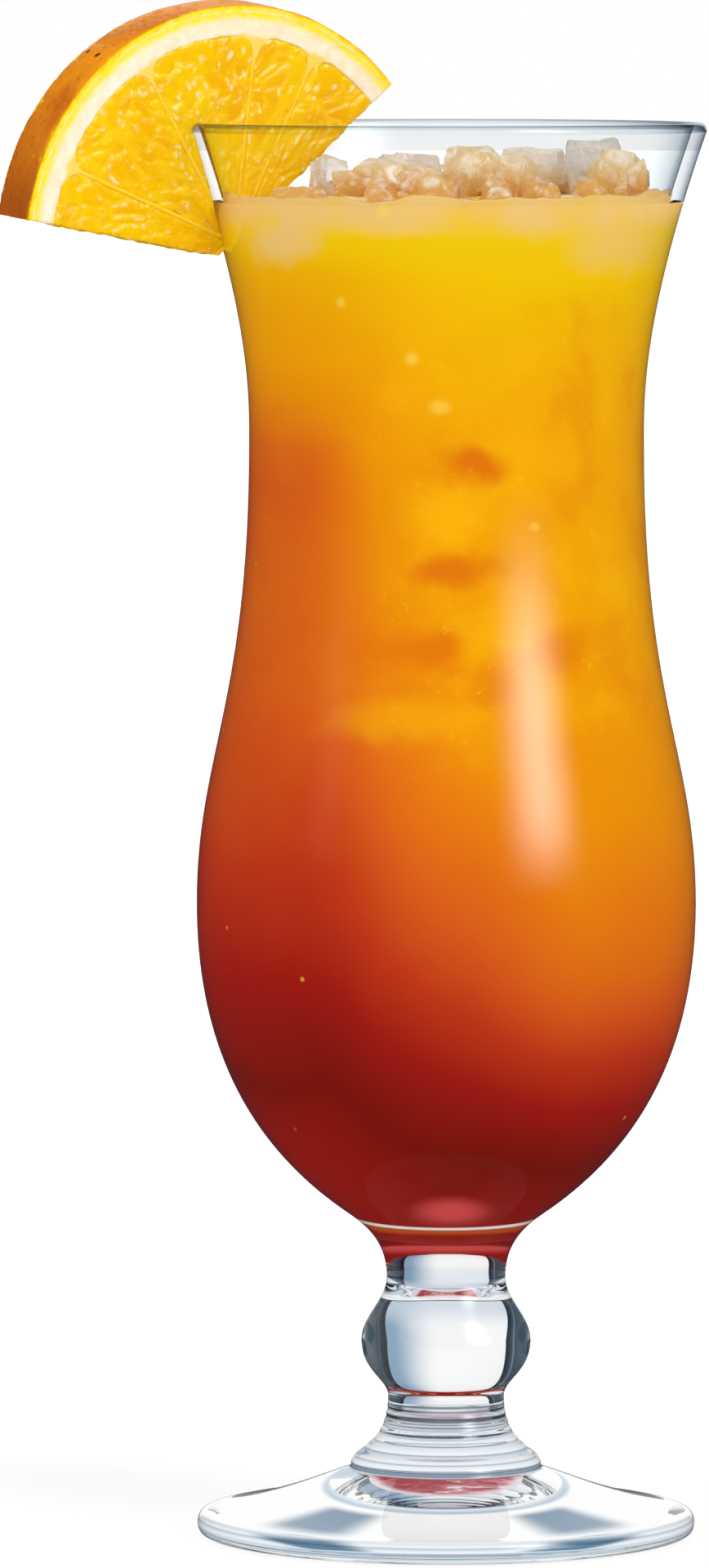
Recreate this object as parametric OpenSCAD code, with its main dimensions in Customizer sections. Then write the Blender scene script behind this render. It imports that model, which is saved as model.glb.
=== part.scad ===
// Hurricane glass served with a layered drink, crushed ice and an orange wedge on the rim.
// Millimetres. +Z is up, the origin is the centre of the foot's standing ring, -Y is the front.

/* [Glass outline] */
// Height of the glass from the table to the top of its rim
glass_h = 204; // [196:1:212]
// Outside radius of the rim
rim_r = 37.4; // [36.6:0.1:38.2]
// Thickness of the rounded rim
rim_t = 2; // [1.7:0.1:2.3]
// Lean of the wall at the rim, from upright
rim_lean = 19; // [17:0.5:21]
// Outside radius at the belly
belly_r = 36.05; // [35:0.05:37]
// Outside radius where the bowl's underside turns into the stem
throat_r = 14.4; // [13.9:0.1:14.9]
// Height where the bowl's underside turns into the stem
throat_z = 46.75; // [46:0.05:47.5]
// Lean of the underside at the throat, from upright
throat_lean = 55.5; // [53:0.5:58]
// Thickness of the bowl's wall
wall_t = 2.3; // [2.1:0.05:2.5]
// Height of the inside bottom of the bowl
bowl_floor_z = 45; // [44:0.5:46]

/* [Stem and foot outline] */
// Radius of the neck between bowl and stem
neck_r = 8.6; // [8.2:0.05:9]
// Height of the neck, where the bowl is fused to the stem
neck_z = 37.2; // [36.5:0.1:38]
// Radius of the knop
knop_r = 12.25; // [11.7:0.05:12.8]
// Height of the knop's widest point
knop_z = 28; // [27:0.1:29]
// Radius of the lower neck
ankle_r = 8.4; // [8:0.05:8.8]
// Height of the lower neck, where the stem is fused to the foot
ankle_z = 20; // [19.5:0.1:20.5]
// Radius of the collar under the lower neck
collar_r = 13.75; // [13.3:0.05:14.2]
// Height of the collar's widest point
collar_z = 10.4; // [10.1:0.1:10.8]
// Height of the collar's lower edge
collar_low_z = 9.5; // [9.2:0.1:9.8]
// Outside radius of the foot
foot_r = 36; // [34.5:0.1:37.5]
// Thickness of the foot's edge
foot_edge_t = 3.3; // [2.9:0.1:3.7]
// Width of the foot's rounded edge, measured inward
foot_edge_w = 1.6; // [1.3:0.1:1.9]
// Width of the flat ring the foot stands on
standing_ring_w = 2.8; // [2.2:0.1:3.4]
// Depth of the hollow under the foot
foot_hollow_h = 1.6; // [1.2:0.1:2]

/* [Drink] */
// How far the drink's surface is below the rim
fill_drop = 10.7; // [10.2:0.1:11.2]
// Height where the syrup layer ends
syrup_z = 62; // [56:0.5:68]
// Height where the mixed layer ends
mixed_z = 88; // [82:0.5:94]
// Gap round each loose piece, so that it can be lifted out
loose_gap = 0.4; // [0.35:0.05:0.5]
// How deep the floating ice sits in the drink
ice_sink = 3; // [2.5:0.1:3.5]

/* [Orange wedge] */
// Radius of the orange slice
slice_r = 34.2; // [33.4:0.1:35]
// Thickness of the slice
slice_t = 9; // [8:0.1:9.6]
// Thickness of the coloured peel
peel_t = 1.5; // [1.2:0.1:1.8]
// Thickness of the white pith
pith_t = 3.2; // [2.8:0.1:3.6]
// Thickness of a membrane between two pulp segments
membrane_t = 0.7; // [0.5:0.05:0.9]
// Radius of the core where the membranes meet
core_r = 2.4; // [2:0.1:2.8]
// How far the lower cut passes under the centre of the slice
lower_cut_drop = 2.4; // [2:0.1:2.8]
// Slope of the lower cut
lower_cut_lean = 10; // [8:0.5:12]
// Angle of the upper cut, from level
upper_cut_angle = 41.5; // [40:0.5:43]
// How far the slice's centre hangs below the top of the rim
hang_drop = 16.7; // [16.2:0.1:17.2]
// How far the slice's centre is inside the rim's outside radius
hang_inset = 4.6; // [4.3:0.1:4.9]
// Turn of the slice about the upright axis
slice_turn = 30; // [28:0.5:32]
// Forward lean of the slice
slice_lean = 4; // [3:0.5:5]
// Gap between the cut slot in the slice and the wall of the glass
slot_gap = 0.6; // [0.55:0.05:0.75]

/* [Shares] */
// Outside radius at the waist, as a share of the rim's radius
waist_r_share = 0.7607; // [0.745:0.0025:0.775]
// Height of the waist, as a share of the way from the throat to the top of the rim
waist_z_share = 0.7075; // [0.69:0.0025:0.725]
// Height of the belly, as a share of the way from the throat to the top of the rim
belly_z_share = 0.2846; // [0.27:0.0025:0.3]
// Handles of the outside curve from rim to waist, as shares of its height
rim_waist_shares = [0.62, 0.139];
// Handles of the outside curve from waist to belly, as shares of its height
waist_belly_shares = [0.571, 0.325];
// Handles of the outside curve from belly to throat, as shares of its height
belly_throat_shares = [0.476, 0.368];
// Handles of the outside curve from throat to neck, as shares of its height
throat_neck_shares = [0.42, 0.5];
// Handles of the curve from neck to knop, as shares of its height
neck_knop_shares = [0.36, 0.39];
// Handles of the curve from knop to lower neck, as shares of its height
knop_ankle_shares = [0.55, 0.29];
// Handles of the curve from lower neck to collar, as shares of its height
ankle_collar_shares = [0.41, 0.45];
// Lean of the collar's flank from upright, as a share of a right angle
collar_lean_share = 0.62;
// Handles of the inside curve from rim to waist, as shares of its height
inner_top_shares = [0.57, 0.216];
// Handles of the inside curve from waist to belly, as shares of its height
inner_mid_shares = [0.574, 0.3185];
// Handles of the inside curve from belly to floor, as shares of its height and of its width
inner_low_shares = [0.703, 0.366];
// Handles along the foot's upper face, as shares of its run and its rise
foot_top_shares = [0.18, 0.16, 0.5, 0.7];
// Angles of the membranes, as shares of a half turn
membrane_shares = [0.361, 0.472, 0.675, 0.878];

/* [Floating ice shares] */
// Each lump: width, depth, height over the drink, place across, place in depth (shares of the rim radius), then
// its turn and its lean (shares of a right angle)
slab_back_shares = [0.25, 0.16, 0.2, -0.115, 0.125, 0.08, 0.09];
tan_lump_shares = [0.31, 0.2, 0.158, -0.205, -0.145, 0.12, 0.07];
shard_shares = [0.19, 0.17, 0.214, 0.09, -0.085, 0.3, 0.14];
slab_right_shares = [0.24, 0.19, 0.222, 0.335, 0.11, 0.07, 0.08];
peach_slab_shares = [0.155, 0.125, 0.168, 0.262, -0.215, 0.2, 0.12];
clear_cube_shares = [0.205, 0.205, 0.246, 0.57, -0.035, 0.1, 0.07];
scallop_shares = [0.16, 0.12, 0.206, 0.655, -0.23, 0.17, 0.1];
edge_lump_shares = [0.085, 0.16, 0.134, 0.74, -0.015, 0.03, 0.12];
oval_lump_shares = [0.2, 0.15, 0.05, -0.57, -0.3, 0.35, 0.04];
chip_shares = [0.11, 0.1, 0.18, -0.44, -0.075, 0.15, 0.13];
back_lump_shares = [0.26, 0.2, 0.14, 0.13, 0.5, 0.22, 0.1];
back_shard_shares = [0.2, 0.2, 0.165, 0.46, 0.4, 0.4, 0.12];

/* [Sunk ice shares] */
// Each lump: width, depth, height (shares of the rim radius), place across and in depth (shares of the rim radius),
// height of its centre (share of the glass height), then its turn and lean (shares of a right angle)
sunk_upper_shares = [0.26, 0.2, 0.19, 0.09, -0.34, 0.762, 0.3, 0.2];
sunk_middle_shares = [0.24, 0.22, 0.17, -0.04, -0.36, 0.693, 0.5, 0.25];
sunk_lower_shares = [0.22, 0.2, 0.2, -0.12, -0.33, 0.63, 0.15, 0.3];
sunk_back_shares = [0.25, 0.24, 0.2, 0.2, 0.3, 0.66, 0.4, 0.2];

/* [Hidden] */
half_turn = 180;
quarter_turn = half_turn / 2;
waist_r = rim_r * waist_r_share;
waist_z = throat_z + (glass_h - throat_z) * waist_z_share;
belly_z = throat_z + (glass_h - throat_z) * belly_z_share;
fill_z = glass_h - fill_drop;
half_rim = rim_t / 2;
rim_centre = [rim_r - half_rim, glass_h - half_rim];
lip_out = rim_centre + half_rim * [cos(rim_lean), -sin(rim_lean)];
lip_in = rim_centre - half_rim * [cos(rim_lean), -sin(rim_lean)];
pulp_r = slice_r - peel_t - pith_t;
pith_r = slice_r - peel_t;
reach = glass_h + slice_r;
collar_lean = collar_lean_share * quarter_turn;
membrane_angles = half_turn * membrane_shares;
foot_top_end = [foot_r - foot_edge_w, foot_edge_t];
ring_out_r = foot_r - foot_edge_w;
ring_in_r = ring_out_r - standing_ring_w;
rim_h = glass_h - waist_z;
waist_h = waist_z - belly_z;
belly_h = belly_z - throat_z;
throat_h = throat_z - neck_z;
$fn = 96;

// Points of one cubic curve, without its last point
function curve(p0, p1, p2, p3, steps) = [
  for (i = [0 : steps - 1])
    let (t = i / steps, s = 1 - t)
      s * s * s * p0 + 3 * s * s * t * p1 + 3 * s * t * t * p2 + t * t * t * p3
];

// Points of an arc about a centre, with its last point
function arc(centre, r, a0, a1, steps) = [
  for (i = [0 : steps])
    let (a = a0 + (a1 - a0) * i / steps)
      centre + r * [cos(a), sin(a)]
];

// Points moved outward, without the first one
function shifted(points, by) = [for (i = [1 : len(points) - 1]) [points[i][0] + by, points[i][1]]];

function reversed(points) = [for (i = [len(points) - 1 : -1 : 0]) points[i]];

outer_top = curve(
  lip_out,
  lip_out - rim_waist_shares[0] * rim_h * [sin(rim_lean), cos(rim_lean)],
  [waist_r, waist_z + rim_waist_shares[1] * rim_h],
  [waist_r, waist_z], 8);

outer_mid = curve(
  [waist_r, waist_z],
  [waist_r, waist_z - waist_belly_shares[0] * waist_h],
  [belly_r, belly_z + waist_belly_shares[1] * waist_h],
  [belly_r, belly_z], 9);

outer_low = curve(
  [belly_r, belly_z],
  [belly_r, belly_z - belly_throat_shares[0] * belly_h],
  [throat_r, throat_z] + belly_throat_shares[1] * belly_h * [sin(throat_lean), cos(throat_lean)],
  [throat_r, throat_z], 10);

outer_throat = curve(
  [throat_r, throat_z],
  [throat_r, throat_z] - throat_neck_shares[0] * throat_h * [sin(throat_lean), cos(throat_lean)],
  [neck_r, neck_z + throat_neck_shares[1] * throat_h],
  [neck_r, neck_z], 6);

inner_top = curve(
  lip_in,
  lip_in - inner_top_shares[0] * rim_h * [sin(rim_lean), cos(rim_lean)],
  [waist_r - wall_t, waist_z + inner_top_shares[1] * rim_h],
  [waist_r - wall_t, waist_z], 8);

inner_mid = curve(
  [waist_r - wall_t, waist_z],
  [waist_r - wall_t, waist_z - inner_mid_shares[0] * waist_h],
  [belly_r - wall_t, belly_z + inner_mid_shares[1] * waist_h],
  [belly_r - wall_t, belly_z], 9);

inner_low = curve(
  [belly_r - wall_t, belly_z],
  [belly_r - wall_t, belly_z - inner_low_shares[0] * (belly_z - bowl_floor_z)],
  [inner_low_shares[1] * (belly_r - wall_t), bowl_floor_z],
  [0, bowl_floor_z], 12);

inner_wall = concat(inner_top, inner_mid, inner_low, [[0, bowl_floor_z]]);

module glass_color() {
  color([0.9, 0.94, 0.96, 0.35])
    children();
}

module bowl_mouth() {
  glass_color()
    rotate_extrude()
      polygon(concat(
        [[waist_r - wall_t, waist_z]],
        reversed(inner_top),
        reversed(arc(rim_centre, half_rim, -rim_lean, half_turn - rim_lean, 7)),
        outer_top,
        [[waist_r, waist_z]]));
}

module bowl_waist() {
  glass_color()
    rotate_extrude()
      polygon(concat(
        [[belly_r - wall_t, belly_z]],
        reversed(inner_mid),
        outer_mid,
        [[belly_r, belly_z]]));
}

module bowl_base() {
  glass_color()
    rotate_extrude()
      polygon(concat(
        [[0, bowl_floor_z]],
        reversed(inner_low),
        outer_low, outer_throat,
        [[neck_r, neck_z], [0, neck_z]]));
}

module stem() {
  glass_color()
    rotate_extrude()
      polygon(concat(
        [[0, neck_z]],
        curve(
          [neck_r, neck_z],
          [neck_r, neck_z - neck_knop_shares[0] * (neck_z - knop_z)],
          [knop_r, knop_z + neck_knop_shares[1] * (neck_z - knop_z)],
          [knop_r, knop_z], 8),
        curve(
          [knop_r, knop_z],
          [knop_r, knop_z - knop_ankle_shares[0] * (knop_z - ankle_z)],
          [ankle_r, ankle_z + knop_ankle_shares[1] * (knop_z - ankle_z)],
          [ankle_r, ankle_z], 8),
        [[ankle_r, ankle_z], [0, ankle_z]]));
}

module collar() {
  flank_h = ankle_z - collar_z;
  flank_end = [collar_r - flank_h * (1 - collar_lean_share) / 6, collar_z + flank_h * collar_lean_share / 6];
  glass_color()
    rotate_extrude()
      polygon(concat(
        [[0, ankle_z]],
        curve(
          [ankle_r, ankle_z],
          [ankle_r, ankle_z - ankle_collar_shares[0] * flank_h],
          flank_end + ankle_collar_shares[1] * flank_h * [-sin(collar_lean), cos(collar_lean)],
          flank_end, 8),
        [flank_end, [collar_r, collar_z], [collar_r, collar_low_z], [0, collar_low_z]]));
}

module foot() {
  run = foot_top_end[0] - collar_r;
  rise = collar_low_z - foot_edge_t;
  glass_color()
    rotate_extrude()
      polygon(concat(
        [[0, collar_low_z]],
        curve(
          [collar_r, collar_low_z],
          [collar_r + foot_top_shares[0] * run, collar_low_z - foot_top_shares[1] * rise],
          [collar_r + foot_top_shares[2] * run, collar_low_z - foot_top_shares[3] * rise],
          foot_top_end, 8),
        curve(
          foot_top_end,
          [foot_r - foot_edge_w / 3, foot_edge_t],
          [foot_r, foot_edge_t - foot_edge_t / 6],
          [foot_r, foot_edge_t / 2], 4),
        curve(
          [foot_r, foot_edge_t / 2],
          [foot_r, foot_edge_t / 6],
          [foot_r - foot_edge_w / 3, 0],
          [ring_out_r, 0], 4),
        [[ring_out_r, 0]],
        curve(
          [ring_in_r, 0],
          [ring_in_r - foot_hollow_h, foot_hollow_h / 2],
          [ring_in_r / 2, foot_hollow_h],
          [0, foot_hollow_h], 6),
        [[0, foot_hollow_h]]));
}

// The drink's whole space between two heights
module drink(low, high) {
  intersection() {
    rotate_extrude()
      polygon(concat([[0, glass_h]], inner_wall));
    translate([0, 0, low])
      cylinder(h = high - low, r = belly_r);
  }
}

module grenadine_layer() {
  color([0.45, 0.05, 0.02])
    drink(0, syrup_z);
}

module blend_layer() {
  color([0.75, 0.2, 0.04])
    drink(syrup_z, mixed_z);
}

module juice_layer() {
  color([0.95, 0.6, 0.05])
    difference() {
      drink(mixed_z, fill_z);
      lump_well(slab_back_shares);
      lump_well(tan_lump_shares);
      lump_well(shard_shares);
      lump_well(slab_right_shares);
      lump_well(peach_slab_shares);
      lump_well(clear_cube_shares);
      lump_well(scallop_shares);
      lump_well(edge_lump_shares);
      lump_well(oval_lump_shares);
      lump_well(chip_shares);
      lump_well(back_lump_shares);
      lump_well(back_shard_shares);
      sunk_lump(sunk_upper_shares);
      sunk_lump(sunk_middle_shares);
      sunk_lump(sunk_lower_shares);
      sunk_lump(sunk_back_shares);
      wedge_well();
    }
}

// Plan of one floating lump, grown by a gap, from its bottom up to a height over the drink
module lump_plan(s, gap, h) {
  w = s[0] * rim_r + 2 * gap;
  d = s[1] * rim_r + 2 * gap;
  k = (w + d) / 2;
  low = ice_sink + gap;
  translate([s[3] * rim_r, s[4] * rim_r, fill_z - low])
    rotate([0, 0, quarter_turn * s[5]])
      intersection() {
        translate([-w / 2, -d / 2, 0])
          cube([w, d, low + h]);
        rotate([0, 0, 38])
          translate([-k * 0.58, -k * 0.6, 0])
            cube([k * 1.16, k * 1.2, low + h]);
      }
}

module lump_well(s) {
  lump_plan(s, loose_gap, fill_drop);
}

// A floating lump: its plan cut by a leaning box and by a leaning top
module lump(s) {
  w = s[0] * rim_r;
  d = s[1] * rim_r;
  h = s[2] * rim_r;
  intersection() {
    lump_plan(s, 0, h);
    translate([s[3] * rim_r, s[4] * rim_r, fill_z])
      rotate([quarter_turn * s[6], -quarter_turn * s[6], quarter_turn * s[5]])
        translate([-w / 2, -d / 2, -h - ice_sink])
          cube([w, d, h + ice_sink + h * 0.9]);
    translate([s[3] * rim_r, s[4] * rim_r, fill_z + h * 0.86])
      rotate([-quarter_turn * s[6], half_turn * s[6], 0])
        translate([-reach / 2, -reach / 2, -reach])
          cube(reach);
  }
}

// A lump of ice shut in the drink
module sunk_lump(s) {
  w = s[0] * rim_r;
  d = s[1] * rim_r;
  h = s[2] * rim_r;
  translate([s[3] * rim_r, s[4] * rim_r, s[5] * glass_h])
    intersection() {
      rotate([quarter_turn * s[7], 0, quarter_turn * s[6]])
        cube([w, d, h], center = true);
      rotate([0, quarter_turn * s[7], quarter_turn * s[6] + 40])
        cube([w, d * 1.1, h * 1.1], center = true);
    }
}

module ice_color() {
  color([0.95, 0.9, 0.85, 0.6])
    children();
}

module ice_sunk_upper() {
  ice_color()
    sunk_lump(sunk_upper_shares);
}

module ice_sunk_middle() {
  ice_color()
    sunk_lump(sunk_middle_shares);
}

module ice_sunk_lower() {
  ice_color()
    sunk_lump(sunk_lower_shares);
}

module ice_sunk_back() {
  ice_color()
    sunk_lump(sunk_back_shares);
}

module ice_slab_back() {
  ice_color()
    lump(slab_back_shares);
}

module ice_tan_lump() {
  ice_color()
    lump(tan_lump_shares);
}

module ice_shard() {
  ice_color()
    lump(shard_shares);
}

module ice_slab_right() {
  ice_color()
    lump(slab_right_shares);
}

module ice_peach_slab() {
  ice_color()
    lump(peach_slab_shares);
}

module ice_clear_cube() {
  ice_color()
    lump(clear_cube_shares);
}

module ice_scallop() {
  ice_color()
    lump(scallop_shares);
}

module ice_edge_lump() {
  ice_color()
    lump(edge_lump_shares);
}

module ice_oval_lump() {
  ice_color()
    lump(oval_lump_shares);
}

module ice_chip() {
  ice_color()
    lump(chip_shares);
}

module ice_back_lump() {
  ice_color()
    lump(back_lump_shares);
}

module ice_back_shard() {
  ice_color()
    lump(back_shard_shares);
}

// Puts a slice drawn flat about its centre onto the rim
module hang() {
  translate([hang_inset - rim_r, 0, glass_h - hang_drop])
    rotate([quarter_turn + slice_lean, 0, slice_turn])
      children();
}

// The part of a disc that the two cuts leave, between two depths
module wedge(r, cut_gap, back, front) {
  intersection() {
    translate([0, 0, -back])
      cylinder(h = back + front, r = r);
    rotate([0, 0, -lower_cut_lean])
      translate([-reach / 2, -lower_cut_drop - cut_gap, -reach / 2])
        cube(reach);
    rotate([0, 0, upper_cut_angle])
      translate([-reach / 2, -cut_gap, -reach / 2])
        cube(reach);
  }
}

// The space round the glass wall that the slot in the slice leaves free
module wall_slot() {
  rotate_extrude()
    polygon(concat(
      reversed(shifted(inner_top, -slot_gap)),
      reversed(arc(rim_centre, half_rim + slot_gap, -rim_lean, half_turn - rim_lean, 7)),
      shifted(outer_top, slot_gap),
      [[waist_r + slot_gap, waist_z], [waist_r - wall_t - slot_gap, waist_z]]));
}

// Room in the drink for the tip of the slice on its way out
module wedge_well() {
  hang()
    wedge(slice_r, slot_gap, slice_t / 2 + 3 * slot_gap, slice_t / 2 + slot_gap);
}

// A pulp segment between two angles
module segment(a0, a1) {
  difference() {
    intersection() {
      wedge(pulp_r, 0, slice_t / 2, slice_t / 2);
      rotate([0, 0, a0])
        translate([-reach / 2, membrane_t / 2, -reach / 2])
          cube(reach);
      rotate([0, 0, a1])
        translate([-reach / 2, -reach - membrane_t / 2, -reach / 2])
          cube(reach);
    }
    cylinder(h = reach, r = core_r, center = true);
  }
}

module hung_segment(a0, a1) {
  color([0.98, 0.72, 0.05])
    difference() {
      hang()
        segment(a0, a1);
      wall_slot();
    }
}

// The space inside the glass wall, carried on upward over the rim
module inner_space() {
  rotate_extrude()
    polygon(concat(
      [[0, waist_z], [waist_r - wall_t - slot_gap, waist_z]],
      reversed(shifted(inner_top, -slot_gap)),
      [[rim_r - rim_t - slot_gap, glass_h - half_rim], [rim_r - rim_t - slot_gap, reach], [0, reach]]));
}

module inner_segment(a0, a1) {
  color([0.98, 0.72, 0.05])
    intersection() {
      hang()
        segment(a0, a1);
      inner_space();
    }
}

module orange_peel() {
  color([0.9, 0.5, 0.05])
    difference() {
      hang()
        wedge(slice_r, 0, slice_t / 2, slice_t / 2);
      hang()
        cylinder(h = reach, r = pith_r, center = true);
    }
}

module orange_pith() {
  color([0.98, 0.95, 0.82])
    difference() {
      hang()
        wedge(pith_r, 0, slice_t / 2, slice_t / 2);
      hang()
        segment(membrane_angles[3], half_turn + membrane_angles[0] / 2);
      hang()
        segment(membrane_angles[2], membrane_angles[3]);
      hang()
        segment(membrane_angles[1], membrane_angles[2]);
      hang()
        segment(membrane_angles[0], membrane_angles[1]);
      hang()
        segment(0, membrane_angles[0]);
      wall_slot();
    }
}

module pulp_lower_left() {
  hung_segment(membrane_angles[3], half_turn + membrane_angles[0] / 2);
}

module pulp_left() {
  hung_segment(membrane_angles[2], membrane_angles[3]);
}

module pulp_top() {
  hung_segment(membrane_angles[1], membrane_angles[2]);
}

module pulp_upper_right() {
  inner_segment(membrane_angles[0], membrane_angles[1]);
}

module pulp_right() {
  inner_segment(0, membrane_angles[0]);
}

bowl_mouth();
bowl_waist();
bowl_base();
stem();
collar();
foot();
grenadine_layer();
blend_layer();
juice_layer();
ice_sunk_upper();
ice_sunk_middle();
ice_sunk_lower();
ice_sunk_back();
ice_slab_back();
ice_tan_lump();
ice_shard();
ice_slab_right();
ice_peach_slab();
ice_clear_cube();
ice_scallop();
ice_edge_lump();
ice_oval_lump();
ice_chip();
ice_back_lump();
ice_back_shard();
orange_peel();
orange_pith();
pulp_lower_left();
pulp_left();
pulp_top();
pulp_upper_right();
pulp_right();
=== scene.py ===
"""Hurricane glass served with a layered drink, crushed ice and an orange wedge on the rim.

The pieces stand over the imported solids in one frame: metres, +Z up, the origin in the middle of the ring that the
foot stands on, -Y towards the viewer. Sizes in the classes are millimetres.
"""

import logging
import math
import random
from dataclasses import dataclass
from enum import Enum, IntEnum

import bmesh
import bpy
from bpy.types import Material, Node, NodeTree
from bpy.types import NodeSocket as Socket
from bpy.types import Object as Piece
from bmesh.types import BMesh as Shape
from bmesh.types import BMVert as Corner
from mathutils import Euler, Matrix, Vector, kdtree, noise
from mathutils.geometry import interpolate_bezier


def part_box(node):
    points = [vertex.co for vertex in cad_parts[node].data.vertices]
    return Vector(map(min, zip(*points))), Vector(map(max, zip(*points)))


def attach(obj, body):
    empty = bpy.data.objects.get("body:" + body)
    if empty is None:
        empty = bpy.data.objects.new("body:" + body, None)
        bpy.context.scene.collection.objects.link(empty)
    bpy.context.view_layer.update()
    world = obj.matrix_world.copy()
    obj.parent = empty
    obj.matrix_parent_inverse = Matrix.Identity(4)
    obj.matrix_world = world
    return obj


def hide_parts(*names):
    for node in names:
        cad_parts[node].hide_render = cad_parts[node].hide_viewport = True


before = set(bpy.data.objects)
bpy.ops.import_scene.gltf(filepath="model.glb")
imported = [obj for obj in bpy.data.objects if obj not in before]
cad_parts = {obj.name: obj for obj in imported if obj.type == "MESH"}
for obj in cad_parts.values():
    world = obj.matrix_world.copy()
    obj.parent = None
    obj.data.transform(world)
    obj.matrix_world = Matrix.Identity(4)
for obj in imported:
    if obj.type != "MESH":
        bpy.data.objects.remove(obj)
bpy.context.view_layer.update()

log = logging.getLogger("hurricane_glass")

MM = 0.001
TOUCH = 1e-5
WHITE = (1.0, 1.0, 1.0)


class Body(Enum):
    """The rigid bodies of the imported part."""

    GLASS = "glass"
    ICE = "floating_ice"
    WEDGE = "orange_wedge"


class Slot(Enum):
    """The material slots of the record."""

    GLASS = "glass"
    SYRUP = "syrup"
    MIXED = "mixed_drink"
    JUICE = "juice"
    ICE = "ice"
    PEEL = "peel"
    PITH = "pith"
    PULP = "pulp"


def tone(red: int, green: int, blue: int) -> tuple[float, ...]:
    """Turns a display colour, 0 to 255, into the linear colour that shaders take."""
    shares = (part / 255 for part in (red, green, blue))
    return tuple(share / 12.92 if share <= 0.04045 else ((share + 0.055) / 1.055) ** 2.4 for share in shares)


def eased(value: float, low: float, high: float) -> float:
    """Returns a share that rises smoothly from 0 at low to 1 at high."""
    share = min(1.0, max(0.0, (value - low) / (high - low)))
    return share * share * (3 - 2 * share)


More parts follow.
